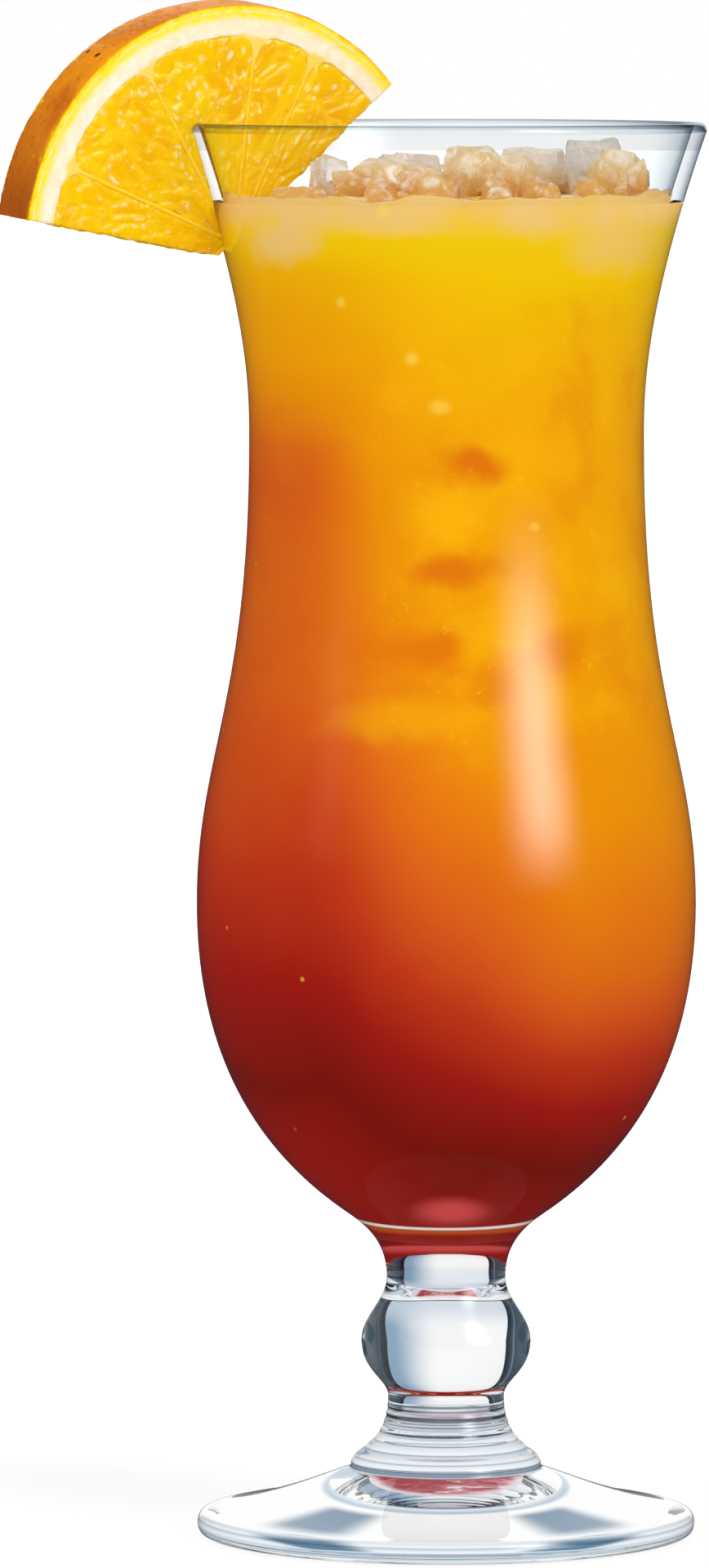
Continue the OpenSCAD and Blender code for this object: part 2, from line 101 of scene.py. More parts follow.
class ShadeBench:
    """A node tree with short calls that add nodes and join them."""

    def __init__(self, tree: NodeTree) -> None:
        """Takes the tree of a material or of the world, and empties it."""
        self.tree = tree
        self.tree.nodes.clear()

    def add(self, kind: str, inputs: dict | None = None, **settings: object) -> Node:
        """Adds a node.

        Args:
            kind: Blender's name of the node type, without its ShaderNode prefix.
            inputs: What its inputs are given, by their names or numbers.
            settings: Values for the node's own properties.

        Returns:
            The new node.
        """
        node = self.tree.nodes.new("ShaderNode" + kind)
        for name, value in settings.items():
            setattr(node, name, value)
        for name, value in (inputs or {}).items():
            self.feed(node.inputs[name], value)
        return node

    def feed(self, socket: Socket, value: object) -> None:
        """Gives an input a value, or joins it to an output.

        Args:
            socket: The input.
            value: A number, a vector, a colour without its alpha, or another node's output.
        """
        if isinstance(value, Socket):
            self.tree.links.new(value, socket)
        else:
            socket.default_value = (*value, 1.0) if socket.type == "RGBA" else value

    def math(self, operation: str, *values: object) -> Socket:
        """Adds the Math node's operation on numbers, in order, and returns the result."""
        return self.add("Math", dict(enumerate(values)), operation=operation).outputs[0]

    def times(self, first: object, *others: object) -> Socket:
        """Multiplies numbers.

        Args:
            first: The first number.
            others: The numbers it is multiplied with, in order.

        Returns:
            The product.
        """
        for other in others:
            first = self.math("MULTIPLY", first, other)
        return first

    def vector(self, operation: str, *values: object) -> Socket:
        """Adds the Vector Math node's operation on vectors, in order, and returns the vector."""
        return self.add("VectorMath", dict(enumerate(values)), operation=operation).outputs["Vector"]

    def scaled(self, place: object, factor: float) -> Socket:
        """Returns a vector times a number."""
        return self.add("VectorMath", {"Vector": place, "Scale": factor}, operation="SCALE").outputs["Vector"]

    def length(self, place: object) -> Socket:
        """Returns the length of a vector."""
        return self.add("VectorMath", {0: place}, operation="LENGTH").outputs["Value"]

    def from_axis(self, place: object) -> Socket:
        """Returns how far a place lies from the upright axis."""
        return self.length(self.vector("MULTIPLY", place, (1.0, 1.0, 0.0)))

    def span(self, value: object, low: float, high: float, start: float = 0.0, end: float = 1.0) -> Socket:
        """Maps a number smoothly from one range to another, held at both ends.

        Args:
            value: The number.
            low: The first range's start.
            high: The first range's end.
            start: What low becomes.
            end: What high becomes.

        Returns:
            The mapped number.
        """
        given = {"Value": value, "From Min": low, "From Max": high, "To Min": start, "To Max": end}
        return self.add("MapRange", given, interpolation_type="SMOOTHSTEP").outputs[0]

    def mix(self, factor: object, first: object, second: object, blend: str = "MIX") -> Socket:
        """Mixes two colours.

        Args:
            factor: How much of the second.
            first: The first colour.
            second: The second colour.
            blend: The Mix node's blend type.

        Returns:
            The mixed colour.
        """
        return self.add("Mix", {0: factor, 6: first, 7: second}, data_type="RGBA", blend_type=blend).outputs[2]

    def lay(self, colour: object, shade: object, *masks: object) -> Socket:
        """Lays a shade over a colour, as strong as the masks' product."""
        return self.mix(self.times(*masks), colour, shade)

    def ramp(self, value: object, stops: tuple) -> Socket:
        """Turns a number into a colour.

        Args:
            value: The number, 0 to 1.
            stops: Pairs of a place from 0 to 1 and a colour.

        Returns:
            The colour.
        """
        node = self.add("ValToRGB", {0: value})
        band = node.color_ramp.elements
        while len(band) > 1:
            band.remove(band[-1])
        band[0].position, band[0].color = stops[0][0], (*stops[0][1], 1.0)
        for place, colour in stops[1:]:
            band.new(place).color = (*colour, 1.0)
        return node.outputs[0]

    def noise(self, place: object, scale: float, detail: float = 2.0, rough: float = 0.5, bend: float = 0.0) -> Socket:
        """Adds a noise pattern.

        Args:
            place: Where it is read.
            scale: How many swirls to the unit.
            detail: How many finer layers.
            rough: How strong they are.
            bend: How far it is bent by itself.

        Returns:
            The noise, about 0.5 in the middle.
        """
        given = {"Vector": place, "Scale": scale, "Detail": detail, "Roughness": rough, "Distortion": bend}
        return self.add("TexNoise", given).outputs[0]

    def cells(self, place: object, scale: float, feature: str = "F1") -> Node:
        """Adds a pattern of cells.

        Args:
            place: Where it is read.
            scale: How many cells to the unit.
            feature: What it measures, as the Voronoi node names it.

        Returns:
            The node, with its distance and its colour of each cell.
        """
        return self.add("TexVoronoi", {"Vector": place, "Scale": scale}, feature=feature)

    def dots(self, place: object, scale: float, size: tuple, chosen: tuple) -> Socket:
        """Marks a small dot in some of the cells.

        Args:
            place: Where the pattern is read.
            scale: How many cells to the unit.
            size: The distances at which a dot starts and is full.
            chosen: The range of a cell's red that decides whether it has a dot.

        Returns:
            A mask, 1 in the dots.
        """
        cells = self.cells(place, scale).outputs
        picked = self.span(self.split(cells["Color"])[0], *chosen)
        return self.times(self.span(cells["Distance"], *size), picked)

    def millimetres(self) -> Socket:
        """Returns the object's own coordinates in millimetres."""
        return self.scaled(self.add("TexCoord").outputs["Object"], 1 / MM)

    def split(self, value: object) -> tuple[Socket, ...]:
        """Returns the three parts of a vector."""
        return tuple(self.add("SeparateXYZ", {0: value}).outputs)

    def mark(self, name: str) -> Socket:
        """Returns a mark that was left on the mesh."""
        return self.add("Attribute", attribute_name=name).outputs["Fac"]

    def bump(self, height: object, strength: float, depth: float) -> Socket:
        """Turns a height into a normal.

        Args:
            height: The height pattern.
            strength: How much of it shows.
            depth: The height of 1, in millimetres.

        Returns:
            The normal.
        """
        return self.add("Bump", {"Strength": strength, "Distance": depth * MM, "Height": height}).outputs[0]

    def closure(self, kind: str, **inputs: object) -> Socket:
        """Adds a shader, its inputs named with _ for a space, and returns its output."""
        return self.add(kind, {name.replace("_", " "): value for name, value in inputs.items()}).outputs[0]

    def blend(self, factor: object, first: Socket, second: Socket) -> Socket:
        """Mixes two shaders: the factor is how much of the second."""
        return self.add("MixShader", {0: factor, 1: first, 2: second}).outputs[0]

    def finish(self, surface: Socket) -> None:
        """Joins a shader to the material's output."""
        self.add("OutputMaterial", {"Surface": surface})


def new_material(name: str) -> tuple[Material, ShadeBench]:
    """Makes an empty node material and returns it with the bench for its tree."""
    material = bpy.data.materials.new(name)
    material.use_nodes = True
    return material, ShadeBench(material.node_tree)


@dataclass(frozen=True)
class ClearGlass:
    """Fire polished glass, which lets light through to what stands behind it."""

    name: str = "clear_glass"
    tint: tuple = (0.985, 0.992, 0.99)
    shade: tuple = (0.93, 0.94, 0.945)
    bending: float = 1.5
    least_bending: float = 1.03
    mirror_loss: float = 0.95
    painted_dark_reflection: tuple = (0.03, 0.03, 0.035)
    mirror_top: float = 44.0
    longest_path: float = 7.5
    painted_lost_ray_glow: tuple = (0.62, 0.7, 0.77)

    def material(self, part: str = "", bands: tuple = (), fade: tuple = ()) -> Material:
        """Builds the finish: clear glass with a faint ripple and a light shadow, with a painted dark reflection for a
        first mirrored ray and a painted pale glow past the longest path.

        Args:
            part: What the name of a part's own finish ends in.
            bands: Pairs of a height in millimetres and a tint, where the tint changes with the height: painted dark
                and pale lines that stand in for reflections.
            fade: The two heights between which it stops bending light, where the wall runs out thin.

        Returns:
            The material.
        """
        material, bench = new_material(self.name + part)
        place = bench.millimetres()
        up = bench.split(place)[2]
        index = bench.span(up, *fade, self.bending, self.least_bending) if fade else self.bending
        tint: object = self.tint
        # The bands paint dark and pale lines over the tint, standing in for reflections.
        if bands:
            low, high = bands[0][0], bands[-1][0]
            share = bench.math("DIVIDE", bench.math("SUBTRACT", up, low), high - low)
            tint = bench.ramp(share, [((height - low) / (high - low), colour) for height, colour in bands])
        ripple = bench.bump(bench.noise(place, 0.05, 2.0, 0.4), 0.25, 0.5)
        seen = bench.closure(
            "BsdfPrincipled", Base_Color=tint, Roughness=0.0, IOR=index, Transmission_Weight=1.0, Normal=ripple
        )
        path = bench.add("LightPath").outputs
        soft = bench.math("MAXIMUM", path["Is Shadow Ray"], path["Is Diffuse Ray"])
        seen = bench.blend(soft, seen, bench.closure("BsdfTransparent", Color=self.shade))
        # A ray that glass bends counts as glossy too, so what is left without those was mirrored.
        unbent = bench.math("SUBTRACT", path["Is Glossy Ray"], path["Is Transmission Ray"])
        first, low = bench.math("LESS_THAN", path["Ray Depth"], 1.5), bench.math("LESS_THAN", up, self.mirror_top)
        mirrored = bench.times(bench.math("MAXIMUM", unbent, 0.0), first, low, self.mirror_loss)
        # Mirrored rays on their first bounce below the mirror top show a painted dark reflection instead of the
        # glass's own.
        seen = bench.blend(mirrored, seen, bench.closure("Emission", Color=self.painted_dark_reflection))
        # Rays past the longest path show a painted pale glow instead of going black.
        lost = bench.math("GREATER_THAN", path["Ray Depth"], self.longest_path)
        bench.finish(bench.blend(lost, seen, bench.closure("Emission", Color=self.painted_lost_ray_glow)))
        return material

    def thin_wall(self, part: str, tints: tuple) -> Material:
        """Builds the finish of the free wall or the lip, which are thin and hardly bend what shows through them, with
        painted shade that darkens them where they turn edgeways.

        Args:
            part: What the name of the part's finish ends in.
            tints: Pairs of how far the wall is turned edgeways and its painted shade there.

        Returns:
            The material.
        """
        material, bench = new_material(self.name + part)
        edgeways = bench.add("LayerWeight").outputs["Facing"]
        # The tint darkens as the wall turns edgeways: painted shade for its dark edges.
        through = bench.closure("BsdfTransparent", Color=bench.ramp(edgeways, tints))
        share = bench.math("ADD", bench.times(bench.math("POWER", edgeways, 5.0), 0.9), 0.04)
        inner = bench.add("NewGeometry").outputs["Backfacing"]
        hidden = bench.math("MAXIMUM", bench.add("LightPath").outputs["Is Shadow Ray"], inner)
        share = bench.times(share, bench.math("SUBTRACT", 1.0, hidden))
        bench.finish(bench.blend(share, through, bench.closure("BsdfGlossy", Roughness=0.0)))
        return material

    def underside(self) -> Material:
        """Builds the finish under the foot, where the glass stands wet on the table and bends no light.

        Returns:
            The material.
        """
        material, bench = new_material(self.name + "_underside")
        clear = bench.closure("BsdfPrincipled", Base_Color=self.tint, Roughness=0.0, IOR=1.0, Transmission_Weight=1.0)
        bench.finish(clear)
        return material

    def painted_syrup_glow(self) -> Material:
        """Builds the finish in the middle under the foot: a painted red reflection of the syrup that the stem carries
        down, with painted white glints.

        Returns:
            The material.
        """
        material, bench = new_material(self.name + "_red_heart")
        place = bench.millimetres()
        streaks = bench.noise(bench.vector("MULTIPLY", place, (0.35, 1.0, 1.0)), 0.5, 3.0, 0.6, 1.2)
        red = bench.mix(bench.span(streaks, 0.42, 0.6), tone(176, 62, 74), tone(206, 120, 130))
        # Painted white glints along the streaks, and a pale painted ring round the red.
        red = bench.lay(red, tone(250, 240, 242), bench.span(streaks, 0.6, 0.68))
        red = bench.lay(red, tone(240, 225, 228), bench.span(bench.from_axis(place), 7.8, 9.3))
        bench.finish(bench.closure("BsdfPrincipled", Base_Color=red, Roughness=0.3))
        return material


@dataclass(frozen=True)
class CloudyDrink:
    """The drink's colour: red syrup that rises into orange and yellow juice, with soft lumps of sunk ice and painted
    shadows under them.

    A lump or a bubble is given by its place across and up, its half width, its half height and its strength.
    """

    name: str
    gloss: bool = False
    low: float = 40.0
    high: float = 200.0
    heights: tuple = (
        (45.0, (160, 24, 12)), (51.0, (146, 22, 10)), (56.0, (125, 20, 8)), (68.0, (160, 26, 15)),
        (80.0, (190, 54, 20)), (91.5, (212, 86, 23)), (106.0, (226, 117, 13)), (120.0, (234, 141, 4)),
        (134.0, (237, 149, 2)), (148.0, (240, 159, 1)), (162.0, (240, 166, 1)), (174.0, (242, 179, 1)),
        (183.0, (245, 196, 2)), (188.0, (244, 200, 10)), (190.5, (242, 197, 50)), (193.0, (238, 194, 90)),
    )
    # climb and reach set how high the painted shade on the left lifts the redder colour, by height.
    climb: float = 60.0
    reach: tuple = (
        (0.0, 0.16), (0.19, 0.26), (0.41, 0.4), (0.54, 0.5), (0.59, 0.58), (0.675, 0.72), (0.73, 0.86),
        (0.78, 0.99), (0.83, 1.0), (0.875, 0.8), (0.91, 0.42), (0.965, 0.2), (0.99, 0.0),
    )
    pale_lumps: tuple = (
        (-0.3, 149.0, 8.5, 6.0, 0.7), (-6.0, 119.0, 12.5, 4.4, 0.5), (8.5, 134.0, 6.0, 8.0, 0.4),
        (12.0, 157.0, 8.0, 9.0, 0.35), (-6.0, 166.0, 7.0, 5.0, 0.35), (15.5, 121.0, 6.0, 5.0, 0.3),
    )
    # Painted shadows under the sunk ice.
    painted_shadow_lumps: tuple = (
        (3.1, 155.6, 6.6, 3.6, 0.9), (0.4, 140.6, 8.0, 3.4, 0.85), (-2.4, 129.3, 6.6, 4.6, 0.75),
        (16.0, 129.5, 4.6, 5.4, 0.5), (-12.0, 128.0, 8.0, 5.0, 0.4), (6.5, 124.0, 5.0, 4.0, 0.3),
    )
    cream_lumps: tuple = (
        (-23.0, 188.0, 6.5, 4.6, 0.75), (-7.0, 190.5, 8.0, 2.6, 0.4), (11.0, 190.5, 7.0, 2.8, 0.4),
        (23.0, 187.5, 7.5, 6.0, 0.5),
    )
    bubbles: tuple = (
        (-9.2, 192.0, 1.3, 1.2, 0.5), (-14.8, 179.1, 0.8, 1.1, 0.5), (-5.0, 171.1, 1.3, 1.3, 0.5),
        (-1.1, 164.1, 2.0, 1.5, 0.45), (12.0, 147.0, 1.0, 0.9, 0.4),
    )

    def lumps(
        self, bench: ShadeBench, place: Socket, colour: Socket, marks: tuple, shade: tuple, *masks: object
    ) -> Socket:
        """Lays soft lumps seen through the wall over a colour.

        Args:
            bench: The bench of the material.
            place: The coordinates in millimetres.
            colour: The colour under them.
            marks: The lumps.
            shade: Their colour.
            masks: Where they may show.

        Returns:
            The colour with the lumps.
        """
        for across, up, wide, tall, strength in marks:
            middle = bench.vector("SUBTRACT", place, (across, 0.0, up))
            far = bench.length(bench.vector("MULTIPLY", middle, (1 / wide, 0.0, 1 / tall)))
            colour = bench.lay(colour, shade, bench.span(far, 1.1, 0.2), *masks, strength)
        return colour

    def layers(self, bench: ShadeBench, place: Socket) -> Socket:
        """Paints the change from syrup to juice; its redder colour climbs higher on the left, most in the upper half,
        as painted shade, and the right is a little yellower as painted light.

        Args:
            bench: The bench of the material.
            place: The coordinates in millimetres.

        Returns:
            The colour.
        """
        across, _, up = bench.split(place)
        reach = bench.ramp(bench.span(up, self.low, self.high), [(at, (much, much, much)) for at, much in self.reach])
        # Painted shade: the redder colour climbs higher on the left.
        painted_left_shade = bench.times(reach, bench.span(across, 3.0, -21.5), self.climb)
        # Lifts the colour towards yellow on the right: painted light from that side.
        right = bench.times(
            bench.span(across, 0.0, 20.0), bench.span(up, 165.0, 130.0, 0.0, 15.0), bench.span(up, 55.0, 85.0)
        )
        swirl = bench.math("SUBTRACT", bench.noise(place, 0.04, 2.0, 0.4, 0.4), 0.5)
        drift = bench.times(swirl, bench.span(up, 188.0, 165.0, 3.0, 12.0))
        level = bench.math("ADD", bench.math("ADD", bench.math("SUBTRACT", up, painted_left_shade), right), drift)
        share = bench.add("MapRange", {"Value": level, "From Min": self.low, "From Max": self.high}).outputs[0]
        depth = self.high - self.low
        return bench.ramp(share, [((height - self.low) / depth, tone(*shade)) for height, shade in self.heights])

    def sunk_ice(self, bench: ShadeBench, place: Socket, colour: Socket) -> Socket:
        """Paints lumps of ice just behind the wall: pale where they touch it, with painted shadows under them.

        Args:
            bench: The bench of the material.
            place: The coordinates in millimetres.
            colour: The colour under them.

        Returns:
            The colour with the lumps.
        """
        across, north, up = bench.split(place)
        drift = bench.add("TexNoise", {"Vector": place, "Scale": 0.13, "Detail": 3.0}).outputs[1]
        bent = bench.vector("ADD", place, bench.scaled(bench.vector("SUBTRACT", drift, (0.5, 0.5, 0.5)), 6.0))
        cloud = bench.noise(bent, 0.085, 2.0, 0.45)
        zone = bench.times(
            bench.span(up, 106.0, 125.0), bench.span(up, 188.0, 172.0), bench.span(across, -14.0, -3.0, 0.12, 1.0)
        )
        colour = bench.lay(colour, tone(251, 186, 10), bench.span(cloud, 0.48, 0.72), zone, 0.4)
        # Darker orange blotches: painted shadow between the lumps.
        colour = bench.lay(colour, tone(228, 126, 6), bench.span(cloud, 0.48, 0.3), zone, 0.35)
        for marks, shade in (
            (self.pale_lumps, tone(250, 178, 8)), (self.painted_shadow_lumps, tone(221, 108, 8)),
            (self.cream_lumps, tone(238, 196, 128)),
        ):
            colour = self.lumps(bench, bent, colour, marks, shade)
        froth = bench.span(bench.noise(bent, 0.12, 2.0), 0.3, 0.65)
        colour = bench.lay(colour, tone(239, 196, 132), bench.span(up, 188.0, 191.5), froth, 0.65)
        colour = self.lumps(bench, place, colour, self.bubbles, tone(255, 216, 84), bench.span(north, 0.0, -8.0))
        shreds = bench.span(bench.noise(place, 0.75, 4.0, 0.65, 1.0), 0.6, 0.72)
        colour = bench.lay(colour, tone(255, 198, 40), shreds, zone, 0.35)
        return bench.lay(colour, tone(255, 196, 60), bench.dots(place, 0.2, (0.1, 0.05), (0.86, 0.88)), 0.5)

    def gathered_light(self, bench: ShadeBench, place: Socket, colour: Socket) -> Socket:
        """Paints the light that the thick bottom gathers: a white crescent with gold under it and a pink dome over it.

        Args:
            bench: The bench of the material.
            place: The coordinates in millimetres.
            colour: The colour under it.

        Returns:
            The colour with the light.
        """
        _, north, up = bench.split(place)
        near = bench.times(north, -1.0)
        ring = bench.math("SUBTRACT", 10.9, bench.times(bench.math("MAXIMUM", near, 0.0), 0.26))
        off = bench.math("SUBTRACT", bench.from_axis(place), ring)
        base = bench.times(bench.span(up, 49.0, 48.5), bench.span(near, -1.5, 1.5))
        colour = self.lumps(bench, place, colour, ((0.6, 49.4, 6.4, 2.6, 0.85),), tone(234, 86, 84))
        gold = bench.times(bench.span(off, -0.5, -0.9), bench.span(off, -3.8, -1.8), base)
        colour = bench.lay(colour, tone(206, 92, 20), gold, 0.85)
        return bench.lay(colour, tone(255, 246, 240), bench.span(off, -0.8, -0.4), bench.span(off, 0.8, 0.4), base)

    def material(self) -> Material:
        """Builds the finish.

        Returns:
            The material.
        """
        material, bench = new_material(self.name)
        place = bench.millimetres()
        colour = self.sunk_ice(bench, place, self.layers(bench, place))
        colour = self.gathered_light(bench, place, colour)
        colour = bench.lay(colour, tone(178, 104, 34), bench.span(bench.mark("brim"), 0.72, 0.95), 0.75)
        if self.gloss:
            swell = bench.bump(bench.noise(place, 0.5, 2.0), 0.4, 0.5)
            skin = bench.closure("BsdfPrincipled", Base_Color=colour, Roughness=0.08, IOR=1.34, Normal=swell)
        else:
            skin = bench.closure("BsdfPrincipled", Base_Color=colour, Roughness=0.6, Specular_IOR_Level=0.02)
        bench.finish(skin)
        return material


@dataclass(frozen=True)
class WetIce:
    """Crushed ice, from clear to soaked in juice."""

    name: str
    body: tuple
    clear: float = 0.85
    frost: float = 0.35
    shade: tuple = (0.86, 0.84, 0.8)

    def material(self) -> Material:
        """Builds the finish: part clear, part frosted in veins, with a wet skin.

        Returns:
            The material.
        """
        material, bench = new_material(self.name)
        place = bench.millimetres()
        veins = bench.noise(place, 0.32, 3.0, 0.55, 0.8)
        cracks = bench.cells(place, 0.6, "DISTANCE_TO_EDGE").outputs["Distance"]
        soaked = bench.mix(bench.span(bench.split(place)[2], 193.8, 198.5), tone(244, 198, 112), self.body)
        tinted = bench.lay(soaked, tone(255, 250, 242), bench.span(veins, 0.45, 0.7))
        ripple = bench.math("ADD", bench.noise(place, 0.9, 3.0, 0.6), bench.times(bench.span(cracks, 0.08, 0.0), 0.5))
        normal = bench.bump(ripple, 0.32, 0.4)
        lens = bench.closure(
            "BsdfPrincipled", Base_Color=self.body, Roughness=0.03, IOR=1.31, Transmission_Weight=1.0, Normal=normal
        )
        lens = bench.blend(0.3, lens, bench.closure("BsdfTransparent", Color=self.body))
        skin = bench.closure(
            "BsdfPrincipled", Base_Color=tinted, Roughness=0.08, IOR=1.45, Normal=normal, Coat_Weight=0.6,
            Coat_Roughness=0.03,
        )
        frosted = bench.blend(0.4, skin, bench.closure("BsdfTranslucent", Color=tinted))
        share = bench.math("ADD", bench.times(bench.span(veins, 0.42, 0.66), self.frost), 1 - self.clear)
        shadow = bench.add("LightPath").outputs["Is Shadow Ray"]
        through = bench.closure("BsdfTransparent", Color=self.shade)
        bench.finish(bench.blend(shadow, bench.blend(share, lens, frosted), through))
        return material


@dataclass(frozen=True)
class OrangeSkin:
    """Orange peel: dimpled and deep orange outside, yellow where it is cut."""

    name: str
    slice_place: Matrix
    cut_radius: float

    def material(self) -> Material:
        """Builds the finish.

        Returns:
            The material.
        """
        material, bench = new_material(self.name)
        flat = sliced(bench, self.slice_place)
        out, edge = bench.from_axis(flat), self.cut_radius
        pores = bench.cells(flat, 0.62).outputs["Distance"]
        # Darker towards the slice's lower part: painted shade.
        rind = bench.mix(bench.span(bench.split(flat)[1], 26.0, 2.0), tone(230, 140, 4), tone(160, 74, 5))
        rind = bench.lay(rind, tone(192, 98, 3), bench.span(bench.noise(flat, 0.09, 3.0, 0.6), 0.45, 0.75))
        rind = bench.lay(rind, tone(160, 72, 3), bench.span(pores, 0.3, 0.05), 0.35)
        rind = bench.lay(rind, tone(96, 44, 14), bench.dots(flat, 0.2, (0.13, 0.06), (0.6, 0.65)))
        teeth = bench.math("SUBTRACT", bench.noise(flat, 0.55, 3.0, 0.6), 0.5)
        face = bench.math("ADD", out, bench.times(teeth, 1.6))
        yellow = bench.mix(bench.span(face, edge - 1.7, edge - 0.6), tone(255, 240, 170), tone(255, 222, 14))
        yellow = bench.lay(yellow, tone(246, 172, 12), bench.span(face, edge - 0.7, edge - 0.1))
        colour = bench.lay(yellow, rind, bench.span(out, edge - 0.5, edge - 0.2))
        height = bench.math("ADD", bench.span(pores, 0.0, 0.5), bench.times(bench.noise(flat, 1.2, 3.0), 0.4))
        normal = bench.bump(height, 0.5, 0.25)
        given = {"Base_Color": colour, "Roughness": 0.36, "Specular_IOR_Level": 0.12, "Normal": normal}
        bench.finish(bench.closure("BsdfPrincipled", **given))
        return material


@dataclass(frozen=True)
class WhitePith:
    """The soft white inside of the peel, stained by juice near the pulp."""

    name: str
    slice_place: Matrix
    inner: float
    outer: float

    def material(self) -> Material:
        """Builds the finish.

        Returns:
            The material.
        """
        material, bench = new_material(self.name)
        flat = sliced(bench, self.slice_place)
        out = bench.from_axis(flat)
        fibre = bench.noise(flat, 0.6, 4.0, 0.65)
        worn = bench.math("ADD", out, bench.times(bench.math("SUBTRACT", fibre, 0.5), 1.8))
        colour = bench.mix(bench.span(fibre, 0.35, 0.7), tone(244, 232, 196), tone(250, 243, 222))
        colour = bench.lay(colour, tone(255, 228, 40), bench.span(worn, self.outer - 1.5, self.outer + 0.2))
        colour = bench.lay(colour, tone(250, 214, 96), bench.span(worn, self.inner + 0.5, self.inner - 0.4))
        colour = bench.lay(colour, tone(252, 206, 40), bench.span(out, self.inner - 1.0, self.inner - 6.0))
        normal = bench.bump(bench.noise(flat, 1.6, 4.0, 0.7), 0.5, 0.2)
        given = {"Base_Color": colour, "Roughness": 0.5, "Specular_IOR_Level": 0.1, "Normal": normal}
        bench.finish(bench.closure("BsdfPrincipled", **given))
        return material


@dataclass(frozen=True)
class JuicyPulp:
    """Pulp of an orange: golden juice cells with pale, wet walls, and pale flecks that are partly cell walls and
    partly painted glints.
    """

    name: str
    slice_place: Matrix

    def material(self) -> Material:
        """Builds the finish, which reads the marks that the relief left on the mesh.

        Returns:
            The material.
        """
        material, bench = new_material(self.name)
        flat = sliced(bench, self.slice_place)
        depth = bench.span(bench.noise(flat, 0.12, 3.0, 0.6), 0.35, 0.68)
        colour = bench.mix(depth, tone(240, 172, 0), tone(245, 196, 0))
        for mark, strength, shade in (
            ("cell", 0.4, (252, 208, 2)), ("wall", 0.35, (254, 214, 30)), ("edge", 0.3, (252, 212, 40)),
            # The pale flecks are partly pale cell walls and partly painted glints.
            ("pale_fleck_and_glint", 0.85, (255, 232, 170)),
        ):
            colour = bench.lay(colour, tone(*shade), bench.mark(mark), strength)
        normal = bench.bump(bench.noise(flat, 1.6, 3.0, 0.6), 0.35, 0.3)
        given = {"Base_Color": colour, "Roughness": 0.07, "IOR": 1.38, "Specular_IOR_Level": 0.5, "Normal": normal}
        bench.finish(bench.closure("BsdfPrincipled", **given))
        return material


def sliced(bench: ShadeBench, slice_place: Matrix) -> Socket:
    """Gives the coordinates of the orange slice, drawn flat about its centre, in millimetres.

    Args:
        bench: The bench of the material.
        slice_place: Where the flat slice hangs, in millimetres.

    Returns:
        The coordinates: X and Y in the cut face, Z through the slice.
    """
    back = slice_place.inverted()
    given = {"Vector": bench.millimetres(), "Location": back.to_translation(), "Rotation": back.to_euler("XYZ")}
    return bench.add("Mapping", given, vector_type="POINT").outputs[0]


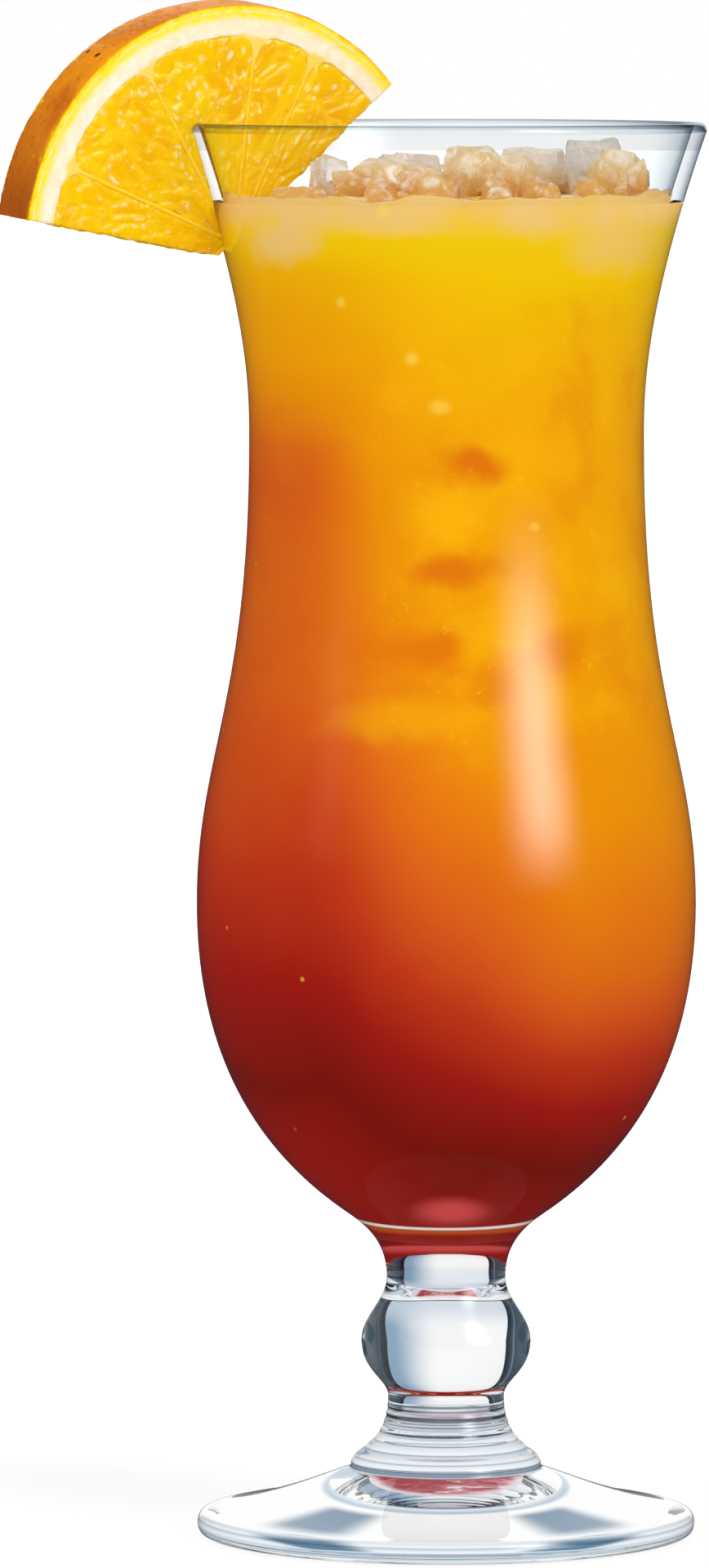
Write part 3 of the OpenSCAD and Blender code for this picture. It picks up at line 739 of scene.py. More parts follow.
class Workshop:
    """Mesh steps that several pieces share. Shapes are drawn in millimetres."""

    @staticmethod
    def curves(start: tuple, *parts: tuple) -> list[Vector]:
        """Draws cubic curves beside the axis, each from where the one before it ends.

        Args:
            start: Radius and height where the first one starts.
            parts: The first handle, the second handle, the end and the number of steps of each.

        Returns:
            Their points, without the last one.
        """
        points = []
        for first, second, end, steps in parts:
            knots = [Vector((point[0], 0.0, point[1])) for point in (start, first, second, end)]
            points += interpolate_bezier(*knots, steps + 1)[:-1]
            start = end
        return points

    @staticmethod
    def turned(points: list[Vector], steps: int, closed: bool = False) -> Shape:
        """Turns an outline about the upright axis.

        Args:
            points: The outline, in order.
            steps: How many steps the full turn has.
            closed: Whether the outline is a loop beside the axis.

        Returns:
            The closed shell.
        """
        bm = bmesh.new()
        verts = [bm.verts.new(point) for point in points]
        edges = [bm.edges.new(pair) for pair in zip(verts, verts[1:] + (verts[:1] if closed else []))]
        bmesh.ops.spin(
            bm, geom=verts + edges, cent=(0, 0, 0), axis=(0, 0, 1), dvec=(0, 0, 0), angle=math.tau,
            space=Matrix.Identity(4), steps=steps, use_merge=True, use_normal_flip=False, use_duplicate=False,
        )
        bmesh.ops.remove_doubles(bm, verts=bm.verts[:], dist=TOUCH)
        bmesh.ops.recalc_face_normals(bm, faces=bm.faces[:])
        return bm

    @staticmethod
    def cut(bm: Shape, point: Vector, away: Vector, fill: bool) -> None:
        """Cuts away what lies past a plane.

        Args:
            bm: The shape.
            point: A point of the plane.
            away: Its normal, towards what goes.
            fill: Whether the cut is closed.
        """
        bmesh.ops.bisect_plane(
            bm, geom=bm.verts[:] + bm.edges[:] + bm.faces[:], dist=TOUCH, plane_co=point, plane_no=away,
            clear_outer=True, clear_inner=False,
        )
        if fill:
            bmesh.ops.holes_fill(bm, edges=[edge for edge in bm.edges if edge.is_boundary], sides=0)

    @staticmethod
    def thickened(bm: Shape, half: float) -> None:
        """Gives flat faces at height 0 a thickness.

        Args:
            bm: The flat shape.
            half: How far it reaches down and up.
        """
        bmesh.ops.translate(bm, verts=bm.verts[:], vec=(0, 0, -half))
        raised = bmesh.ops.extrude_face_region(bm, geom=bm.faces[:])
        top = [part for part in raised["geom"] if isinstance(part, Corner)]
        bmesh.ops.translate(bm, verts=top, vec=(0, 0, half + half))
        bmesh.ops.recalc_face_normals(bm, faces=bm.faces[:])

    @staticmethod
    def made(name: str, bm: Shape) -> Piece:
        """Makes an object of a shape, still in millimetres.

        Args:
            name: The object's name.
            bm: The shape, which is freed.

        Returns:
            The object.
        """
        mesh = bpy.data.meshes.new(name)
        bm.to_mesh(mesh)
        bm.free()
        piece = bpy.data.objects.new(name, mesh)
        bpy.context.scene.collection.objects.link(piece)
        return piece

    @staticmethod
    def modified(piece: Piece, kind: str, **settings: object) -> None:
        """Adds a modifier to a piece and applies it to its mesh.

        Args:
            piece: The piece.
            kind: The modifier's type.
            settings: Values for its properties.
        """
        step = piece.modifiers.new(kind, kind)
        for name, value in settings.items():
            setattr(step, name, value)
        graph = bpy.context.evaluated_depsgraph_get()
        final = piece.evaluated_get(graph)
        mesh = bpy.data.meshes.new_from_object(final, preserve_all_data_layers=True, depsgraph=graph)
        rough = piece.data
        piece.modifiers.clear()
        piece.data = mesh
        mesh.name = piece.name
        bpy.data.meshes.remove(rough)

    @classmethod
    def less(cls, piece: Piece, cutter: Piece) -> None:
        """Takes a closed shape, the cutter, out of another."""
        cls.modified(piece, "BOOLEAN", operation="DIFFERENCE", solver="EXACT", object=cutter)

    @classmethod
    def even(cls, piece: Piece, grain: float) -> None:
        """Gives a closed shape a skin of small even faces, as big as the grain in millimetres."""
        cls.modified(piece, "REMESH", mode="VOXEL", voxel_size=grain, adaptivity=0.0, use_smooth_shade=True)

    @staticmethod
    def dropped(piece: Piece) -> None:
        """Removes a helper object and its mesh."""
        mesh = piece.data
        bpy.data.objects.remove(piece)
        bpy.data.meshes.remove(mesh)

    @staticmethod
    def normals(piece: Piece) -> list[Vector]:
        """Returns a copy of each vertex normal."""
        return [vert.normal.copy() for vert in piece.data.vertices]

    @staticmethod
    def placed(piece: Piece, place: Matrix | None = None, smooth_below: float = 180.0) -> None:
        """Puts a finished shape where it goes, in metres, and shades it.

        Args:
            piece: The shape, drawn in millimetres.
            place: Its place, in millimetres, if it isn't drawn there.
            smooth_below: Edges sharper than this many degrees stay sharp.
        """
        piece.data.transform(Matrix.Scale(MM, 4) @ (place or Matrix.Identity(4)))
        piece.data.shade_smooth()
        if smooth_below < 180.0:
            piece.data.set_sharp_from_angle(angle=math.radians(smooth_below))
        piece.data.update()


def fitted(piece: Piece, body: Body, slot: Slot, *nodes: str) -> None:
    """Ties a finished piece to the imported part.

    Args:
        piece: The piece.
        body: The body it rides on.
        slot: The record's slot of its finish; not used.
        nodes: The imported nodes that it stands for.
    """
    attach(piece, body.value)
    if nodes:
        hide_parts(*nodes)
    stands_for = ", ".join(nodes) or "no node"
    log.info("%s rides on %s: %d faces, stands for %s", piece.name, body.value, len(piece.data.polygons), stands_for)


class Look(IntEnum):
    """The finishes of the glass by place, in the order of its materials."""

    CLEAR = 0
    UNDERSIDE = 1
    HEART = 2
    FREE_WALL = 3
    SKIRT = 4
    EDGE = 5
    NECK = 6
    LIP = 7
    SHOULDER = 8


@dataclass
class GlassBody:
    """The glass: bowl, stem and foot, fused hot into one.

    A pair is a radius and a height. Bands are pairs of a height and a tint, painted dark and pale lines that stand in
    for reflections, and tints are pairs of how far the wall is turned edgeways and its tint there, painted shade that
    darkens the thin wall at its edges.
    """

    height: float = 204.0
    rim_radius: float = 37.4
    rim_thick: float = 2.0
    rim_lean: float = 19.0
    waist: tuple = (28.45, 158.0)
    belly: tuple = (36.05, 91.5)
    throat: tuple = (14.4, 46.75)
    throat_lean: float = 55.5
    wall: float = 2.3
    floor: float = 45.0
    neck: tuple = (8.6, 37.2)
    knop: tuple = (12.25, 28.0)
    ankle: tuple = (8.4, 20.0)
    collar: tuple = (13.75, 10.4)
    collar_low: float = 9.5
    collar_lean: float = 55.8
    foot_radius: float = 36.0
    edge_thick: float = 3.3
    edge_width: float = 1.6
    ring_width: float = 2.8
    hollow: float = 1.6
    tool_depth: float = 0.05
    tool_pitch: float = 1.15
    wet_radius: float = 15.0
    # Inside this radius under the foot sits the painted red reflection of the syrup.
    painted_glow_radius: float = 9.5
    neck_radius: float = 12.0
    sole: float = 1.65
    skirt_top: float = 18.0
    brim: float = 193.5
    shoulder: tuple = (186.0, 193.4)
    turn_steps: int = 200
    slot_steps: int = 128
    # Painted shade that darkens the free wall and the lip towards their edges.
    wall_edge_painted_shade: tuple = (
        (0.0, (0.985, 0.99, 0.99)), (0.5, (0.975, 0.985, 0.988)), (0.75, (0.9, 0.93, 0.95)), (0.9, (0.62, 0.68, 0.74)),
        (1.0, (0.26, 0.33, 0.4)),
    )
    lip_edge_painted_shade: tuple = (
        (0.0, (0.95, 0.965, 0.975)), (0.35, (0.8, 0.84, 0.87)), (0.7, (0.46, 0.52, 0.58)), (0.9, (0.2, 0.24, 0.29)),
        (1.0, (0.08, 0.1, 0.13)),
    )
    # Painted grey band on the neck, standing in for what the glass shows there.
    neck_painted_band: tuple = (
        (34.5, (0.985, 0.992, 0.99)), (36.0, (0.8, 0.85, 0.89)), (38.5, (0.8, 0.85, 0.89)),
        (40.0, (0.985, 0.992, 0.99)),
    )
    # Painted dark and pale lines on the skirt, standing in for its reflections.
    skirt_painted_lines: tuple = (
        (9.4, (0.9, 0.94, 0.97)), (9.7, (0.12, 0.19, 0.28)), (10.3, (0.09, 0.15, 0.23)), (10.6, (0.9, 0.95, 0.98)),
        (11.1, (0.7, 0.8, 0.88)), (11.3, (0.16, 0.24, 0.34)), (11.5, (0.85, 0.91, 0.95)), (12.3, (0.45, 0.58, 0.7)),
        (12.5, (0.12, 0.19, 0.27)), (12.7, (0.92, 0.95, 0.98)), (13.5, (0.55, 0.67, 0.77)), (13.7, (0.2, 0.28, 0.37)),
        (13.9, (0.9, 0.94, 0.97)), (14.8, (0.5, 0.62, 0.73)), (15.0, (0.14, 0.2, 0.27)), (15.2, (0.95, 0.97, 0.99)),
        (16.0, (0.6, 0.7, 0.79)), (16.25, (0.1, 0.14, 0.19)), (16.5, (0.9, 0.93, 0.96)), (17.1, (0.05, 0.08, 0.11)),
        (17.5, (0.04, 0.06, 0.08)), (17.8, (0.97, 0.98, 0.99)),
    )
    # Painted dark and pale lines on the foot's edge, standing in for its reflections.
    edge_painted_lines: tuple = (
        (0.0, (0.3, 0.42, 0.54)), (0.35, (0.8, 0.87, 0.92)), (0.6, (0.12, 0.2, 0.3)), (0.85, (0.75, 0.84, 0.9)),
        (1.5, (0.4, 0.53, 0.65)), (1.9, (0.9, 0.94, 0.97)), (2.4, (0.25, 0.37, 0.49)), (2.6, (0.93, 0.96, 0.98)),
        (3.0, (0.6, 0.71, 0.8)), (3.3, (0.97, 0.98, 0.99)),
    )

    @staticmethod
    def slope(degrees: float) -> tuple[float, float]:
        """Returns the sine and the cosine of an angle."""
        return math.sin(math.radians(degrees)), math.cos(math.radians(degrees))

    def ring_end(self) -> float:
        """Returns the outer radius of the ring that the foot stands on."""
        return self.foot_radius - self.edge_width

    def lip(self) -> list[Vector]:
        """Returns the round lip, from its outside over the top to its inside."""
        half = self.rim_thick / 2
        arcs = [math.radians(-self.rim_lean + 180 * step / 16) for step in range(17)]
        right, top = self.rim_radius - half, self.height - half
        return [Vector((right + half * math.cos(arc), 0, top + half * math.sin(arc))) for arc in arcs]

    def inside(self) -> list[Vector]:
        """Returns the inner wall, from the middle of its bottom up to the lip."""
        lip, lean = self.lip()[-1], self.slope(self.rim_lean)
        waist, belly = (self.waist[0] - self.wall, self.waist[1]), (self.belly[0] - self.wall, self.belly[1])
        top, middle, low = self.height - waist[1], waist[1] - belly[1], belly[1] - self.floor
        down = Workshop.curves(
            (lip.x, lip.z),
            (
                (lip.x - 0.57 * top * lean[0], lip.z - 0.57 * top * lean[1]),
                (waist[0], waist[1] + 0.216 * top), waist, 36,
            ),
            ((waist[0], waist[1] - 0.574 * middle), (belly[0], belly[1] + 0.3185 * middle), belly, 22),
            ((belly[0], belly[1] - 0.703 * low), (0.366 * belly[0], self.floor), (0, self.floor), 40),
        )
        return [*down, Vector((0, 0, self.floor))][::-1]

    def outside(self) -> list[Vector]:
        """Returns the outer surface, from the lip down to the middle of the hollow under the foot."""
        lip, lean = self.lip()[0], self.slope(self.rim_lean)
        under, flank = self.slope(self.throat_lean), self.slope(self.collar_lean)
        waist, belly, throat, neck, knop, ankle = self.waist, self.belly, self.throat, self.neck, self.knop, self.ankle
        (side, shelf), step, rim, thick = self.collar, self.collar_low, self.foot_radius, self.edge_thick
        top, middle, low, drop = self.height - waist[1], waist[1] - belly[1], belly[1] - throat[1], throat[1] - neck[1]
        upper, lower, skirt = neck[1] - knop[1], knop[1] - ankle[1], ankle[1] - shelf
        flank_end = (side - skirt * 0.38 / 6, shelf + skirt * 0.62 / 6)
        ring_out, near_rim = self.ring_end(), rim - self.edge_width / 3
        ring_in, hollow = ring_out - self.ring_width, self.hollow
        run, rise = ring_out - side, step - thick
        points = Workshop.curves(
            (lip.x, lip.z),
            (
                (lip.x - 0.62 * top * lean[0], lip.z - 0.62 * top * lean[1]),
                (waist[0], waist[1] + 0.139 * top), waist, 30,
            ),
            ((waist[0], waist[1] - 0.571 * middle), (belly[0], belly[1] + 0.325 * middle), belly, 30),
            (
                (belly[0], belly[1] - 0.476 * low),
                (throat[0] + 0.368 * low * under[0], throat[1] + 0.368 * low * under[1]), throat, 36,
            ),
            (
                (throat[0] - 0.42 * drop * under[0], throat[1] - 0.42 * drop * under[1]),
                (neck[0], neck[1] + 0.5 * drop), neck, 20,
            ),
            ((neck[0], neck[1] - 0.36 * upper), (knop[0], knop[1] + 0.39 * upper), knop, 20),
            ((knop[0], knop[1] - 0.55 * lower), (ankle[0], ankle[1] + 0.29 * lower), ankle, 20),
            (
                (ankle[0], ankle[1] - 0.41 * skirt),
                (flank_end[0] - 0.45 * skirt * flank[0], flank_end[1] + 0.45 * skirt * flank[1]), flank_end, 60,
            ),
            ((side - 0.1, shelf + 0.2), (side, shelf + 0.1), (side, shelf - 0.2), 6),
            ((side, step + 0.1), (side + 0.1, step), (side + 0.4, step - 0.1), 6),
            ((side + 0.18 * run, step - 0.16 * rise), (side + 0.5 * run, step - 0.7 * rise), (ring_out, thick), 26),
            ((near_rim, thick), (rim, thick * 5 / 6), (rim, thick / 2), 8),
            ((rim, thick / 6), (near_rim, 0), (ring_out, 0), 8),
        )
        points.append(Vector((ring_out, 0, 0)))
        under_foot = ((ring_in - hollow, hollow / 2), (ring_in / 2, hollow), (0, hollow), 24)
        points += Workshop.curves((ring_in, 0), under_foot)
        return [*points, Vector((0, 0, hollow))]

    def build(self) -> Piece:
        """Turns the outline into the glass, with the marks of the tool on its skirt.

        Returns:
            The piece.
        """
        outline = self.inside()[:-1] + self.lip()[::-1][:-1] + self.outside()
        low, high = self.collar[1], self.ankle[1]
        for point in outline:
            tooled = eased(point.z, low, low + 1.5) * eased(point.z, high - 0.5, high - 2.5)
            point.x += self.tool_depth * tooled * math.sin(math.tau * point.z / self.tool_pitch)
        piece = Workshop.made("glass_body", Workshop.turned(outline, self.turn_steps))
        Workshop.placed(piece)
        return piece

    def look(self, out: float, up: float, slope: float) -> Look:
        """Chooses the finish of a face.

        Args:
            out: How far it lies from the axis.
            up: Its height.
            slope: How far its normal points up.

        Returns:
            The finish.
        """
        wet_end = self.ring_end() - self.ring_width
        if up < self.sole and slope < -0.5:
            if self.wet_radius < out < wet_end:
                return Look.UNDERSIDE
            return Look.HEART if out < self.painted_glow_radius else Look.CLEAR
        for floor, look in (
            (self.height - self.rim_thick * 0.7, Look.LIP), (self.brim, Look.FREE_WALL),
            (self.shoulder[0], Look.SHOULDER),
        ):
            if up > floor:
                return look
        if self.collar_low - 0.1 < up < self.skirt_top:
            return Look.SKIRT
        if up < self.edge_thick and out > wet_end:
            return Look.EDGE
        if self.neck_painted_band[0][0] < up < self.neck_painted_band[-1][0] and out < self.neck_radius:
            return Look.NECK
        return Look.CLEAR

    def dress(self, piece: Piece) -> None:
        """Gives the glass its finishes and ties it to its nodes."""
        finish = ClearGlass()
        for material in (
            finish.material(),
            finish.underside(),
            finish.painted_syrup_glow(),
            finish.thin_wall("_free_wall", self.wall_edge_painted_shade),
            finish.material("_skirt", self.skirt_painted_lines),
            finish.material("_edge", self.edge_painted_lines),
            finish.material("_neck", self.neck_painted_band),
            finish.thin_wall("_lip", self.lip_edge_painted_shade),
            finish.material("_shoulder", fade=self.shoulder),
        ):
            piece.data.materials.append(material)
        for face in piece.data.polygons:
            face.material_index = self.look(face.center.to_2d().length / MM, face.center.z / MM, face.normal.z)
        fitted(piece, Body.GLASS, Slot.GLASS, "bowl_mouth", "bowl_waist", "bowl_base", "stem", "collar", "foot")

    def slot_cutter(self, gap: float) -> Piece:
        """Makes the space round the wall that the wedge leaves free.

        Args:
            gap: How far it stands off the wall.

        Returns:
            A helper shape in millimetres.
        """
        low, half = self.waist[1] - 0.01, self.rim_thick / 2
        inner = [Vector((p.x - gap, 0, p.z)) for p in self.inside() if p.z > low]
        outer = [Vector((p.x + gap, 0, p.z)) for p in self.outside() if p.z > low]
        middle = Vector((self.rim_radius - half, 0, self.height - half))
        over = [middle + (p - middle) * (1 + gap * 2 / self.rim_thick) for p in self.lip()]
        outline = inner[:-1] + over[::-1] + outer[1:]
        return Workshop.made("slot_cutter", Workshop.turned(outline, self.slot_steps, closed=True))


@dataclass
class LayeredDrink:
    """The drink in its three layers, which fill the bowl with no gap of air."""

    glass: GlassBody
    overlap: float = 0.12
    surface: float = 193.3
    climb: float = 0.9
    climb_width: float = 2.6
    swell: float = 1.3
    syrup_top: float = 62.0
    mixed_top: float = 88.0
    turn_steps: int = 160
    climb_steps: int = 8
    surface_steps: int = 24

    def outline(self) -> list[Vector]:
        """Returns the drink's outline, from the middle of its bottom to the middle of its surface."""
        wall = self.glass.inside()
        points = [Vector((0, 0, wall[0].z - self.overlap))]
        for before, point, after in zip(wall, wall[1:], wall[2:]):
            along = after - before
            grown = point + Vector((along.z, 0, -along.x)).normalized() * self.overlap
            if grown.z < self.surface + self.climb:
                points.append(grown)
        edge = points[-1].x
        for step in range(1, self.climb_steps + 1):
            share = step / self.climb_steps
            points.append(Vector((edge - self.climb_width * share, 0, self.surface + self.climb * (1 - share) ** 2)))
        for step in range(1, self.surface_steps + 1):
            points.append(Vector(((edge - self.climb_width) * (1 - step / self.surface_steps), 0, self.surface)))
        return points

    def ripple(self, bm: Shape) -> None:
        """Gives the drink's surface a swell, most at its edge, and marks the brim.

        Args:
            bm: The drink.
        """
        brim = bm.verts.layers.float.new("brim")
        top, low = max(vert.co.z for vert in bm.verts), self.surface - 0.5
        for vert in bm.verts:
            vert[brim] = 1.0 if vert.co.z > top - 0.05 else 0.0
            if vert.co.z > low:
                place = Vector((vert.co.x * 0.12, vert.co.y * 0.12, 3.0))
                swell = noise.noise(place) * 1.3 + noise.noise(place * 2.6) * 0.6
                swell = max(-self.swell, min(self.swell, swell))
                out = vert.co.to_2d().length
                vert.co.z += swell * eased(out, 5.0, 26.0) * eased(vert.co.z, low, self.surface + 0.2)

    def build(self) -> list[Piece]:
        """Turns the outline and cuts it into layers.

        Returns:
            The three layers, lowest first.
        """
        layers = []
        levels = (
            ("syrup", None, self.syrup_top), ("mixed_drink", self.syrup_top, self.mixed_top),
            ("juice", self.mixed_top, None),
        )
        for name, low, high in levels:
            bm = Workshop.turned(self.outline(), self.turn_steps)
            self.ripple(bm)
            for level, side in ((high, 1), (low, -1)):
                if level is not None:
                    Workshop.cut(bm, Vector((0, 0, level)), Vector((0, 0, side)), True)
            bmesh.ops.recalc_face_normals(bm, faces=bm.faces[:])
            piece = Workshop.made(name, bm)
            Workshop.placed(piece, smooth_below=50.0)
            layers.append(piece)
        return layers

    def dress(self, layers: list[Piece]) -> None:
        """Gives the layers their finish and ties them to their nodes."""
        side = CloudyDrink("drink_behind_glass").material()
        top = CloudyDrink("drink_surface", gloss=True).material()
        inner, low = self.glass.rim_radius * MM * 0.92, (self.surface - 1.5) * MM
        nodes = ((Slot.SYRUP, "grenadine_layer"), (Slot.MIXED, "blend_layer"), (Slot.JUICE, "juice_layer"))
        for piece, (slot, node) in zip(layers, nodes):
            piece.data.materials.append(side)
            piece.data.materials.append(top)
            for face in piece.data.polygons:
                inward = face.center.to_2d().length < inner
                face.material_index = 1 if face.normal.z > 0.35 and face.center.z > low and inward else 0
            fitted(piece, Body.GLASS, slot, node)


@dataclass
class IceLump:
    """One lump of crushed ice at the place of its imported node."""

    node: str
    finish: str
    seed: int
    chips: int = 4
    swell: float = 1.0
    lump_corners: int = 15
    chip_corners: int = 10

    def stone(self, target: Shape, centre: Vector, half: Vector, dice: random.Random, corners: int) -> None:
        """Adds a broken, slightly melted stone.

        Args:
            target: The shape that it is added to.
            centre: Its middle.
            half: Half its size each way.
            dice: The source of its random numbers.
            corners: How many points its hull is drawn round.
        """
        bm = bmesh.new()
        for _ in range(corners):
            ray = Vector((dice.gauss(0, 1), dice.gauss(0, 1), dice.gauss(0, 1))).normalized()
            boxed = Vector([math.copysign(abs(part) ** 0.4, part) for part in ray])
            stretch = dice.uniform(0.86, 1.02)
            bm.verts.new(centre + Vector((boxed.x * half.x, boxed.y * half.y, boxed.z * half.z)) * stretch)
        hull = bmesh.ops.convex_hull(bm, input=bm.verts[:])
        loose = {part for part in hull["geom_interior"] + hull["geom_unused"] if isinstance(part, Corner)}
        bmesh.ops.delete(bm, geom=list(loose), context="VERTS")
        bmesh.ops.dissolve_limit(bm, angle_limit=0.3, verts=bm.verts[:], edges=bm.edges[:])
        bmesh.ops.bevel(
            bm, geom=bm.edges[:], affect="EDGES", offset=min(half) * 0.14, segments=2, profile=0.5, material=-1,
            clamp_overlap=True,
        )
        bmesh.ops.triangulate(bm, faces=bm.faces[:])
        bmesh.ops.subdivide_edges(bm, edges=bm.edges[:], cuts=2, use_grid_fill=True)
        for vert in bm.verts:
            vert.co += noise.noise_vector(vert.co * 0.4) * 0.3 + noise.noise_vector(vert.co * 1.3) * 0.08
        bmesh.ops.recalc_face_normals(bm, faces=bm.faces[:])
        part = bpy.data.meshes.new("stone")
        bm.to_mesh(part)
        bm.free()
        target.from_mesh(part)
        bpy.data.meshes.remove(part)

    def build(self) -> Piece:
        """Builds the lump with its chips.

        Returns:
            The piece.
        """
        low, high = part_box(self.node)
        low, high = low / MM, high / MM
        centre, half = (low + high) / 2, (high - low) / 2 * self.swell
        dice = random.Random(self.seed)
        bm = bmesh.new()
        self.stone(bm, centre, half, dice, self.lump_corners)
        for _ in range(self.chips):
            away = Vector((
                dice.uniform(-1, 1) * half.x, dice.uniform(-1, 1) * half.y, dice.uniform(-0.4, 0.5) * half.z,
            ))
            size = Vector([dice.uniform(0.4, 0.68) * part for part in half])
            self.stone(bm, centre + away * 0.8, size, dice, self.chip_corners)
        piece = Workshop.made(self.node + "_broken", bm)
        Workshop.placed(piece, smooth_below=24.0)
        return piece


@dataclass
class CrushedIce:
    """All the floating ice, with slush between the lumps.

    A lump is given by its node, its finish, its seed, its number of chips and its swell.
    """

    surface: float = 193.3
    spread: float = 27.0
    grains: int = 56
    seed: int = 11
    lumps: tuple = (
        ("ice_slab_back", "cream", 4, 6, 1.05), ("ice_tan_lump", "tan", 5, 8, 1.14), ("ice_shard", "tan", 8, 8, 1.12),
        ("ice_slab_right", "cream", 12, 6, 1.16), ("ice_peach_slab", "tan", 21, 6, 1.16),
        ("ice_clear_cube", "clear", 34, 6, 1.14), ("ice_scallop", "tan", 55, 8, 1.1),
        ("ice_edge_lump", "cream", 89, 5, 1.1), ("ice_oval_lump", "cream", 144, 1, 1.05),
        ("ice_chip", "clear", 233, 3, 1.1), ("ice_back_lump", "cream", 377, 6, 1.16),
        ("ice_back_shard", "clear", 610, 5, 1.16),
    )
    sunk: tuple = ("ice_sunk_upper", "ice_sunk_middle", "ice_sunk_lower", "ice_sunk_back")

    def finishes(self) -> dict[str, Material]:
        """Returns the finishes of the ice by name."""
        return {
            "clear": WetIce("clear_ice", (0.985, 0.99, 1.0), 0.85, 0.3).material(),
            "cream": WetIce("frosted_ice", (0.985, 0.955, 0.9), 0.55, 0.5).material(),
            "tan": WetIce("soaked_ice", (0.98, 0.86, 0.58), 0.5, 0.5).material(),
        }

    def slush(self) -> Piece:
        """Builds the small grains between the lumps.

        Returns:
            The piece.
        """
        dice = random.Random(self.seed)
        bm = bmesh.new()
        for _ in range(self.grains):
            turn, out = dice.uniform(0, math.tau), self.spread * math.sqrt(dice.uniform(0.02, 1))
            centre = Vector((out * math.cos(turn), out * math.sin(turn), self.surface + dice.uniform(-0.6, 1.9)))
            if centre.x < -7.0 + 0.3 * centre.y:
                continue
            size = dice.uniform(1.4, 3.0)
            turned = Euler((dice.uniform(0, 3), dice.uniform(0, 3), dice.uniform(0, 3))).to_matrix().to_4x4()
            pressed = Matrix.Diagonal((1, dice.uniform(0.6, 1), dice.uniform(0.5, 0.9), 1))
            place = Matrix.Translation(centre) @ turned @ pressed
            made = bmesh.ops.create_icosphere(bm, subdivisions=2, radius=size, matrix=place)
            for vert in made["verts"]:
                vert.co += noise.noise_vector(vert.co * 0.5) * 0.7
        piece = Workshop.made("ice_slush", bm)
        Workshop.placed(piece, smooth_below=50.0)
        return piece

    def build(self) -> None:
        """Builds every lump, dresses it and ties it to its node."""
        finishes = self.finishes()
        for given in self.lumps:
            lump = IceLump(*given)
            piece = lump.build()
            piece.data.materials.append(finishes[lump.finish])
            fitted(piece, Body.ICE, Slot.ICE, lump.node)
        slush = self.slush()
        slush.data.materials.append(finishes["tan"])
        fitted(slush, Body.ICE, Slot.ICE)
        for node in self.sunk:
            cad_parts[node].data.materials.clear()
            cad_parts[node].data.materials.append(finishes["cream"])
            log.info("%s keeps its packed shape", node)


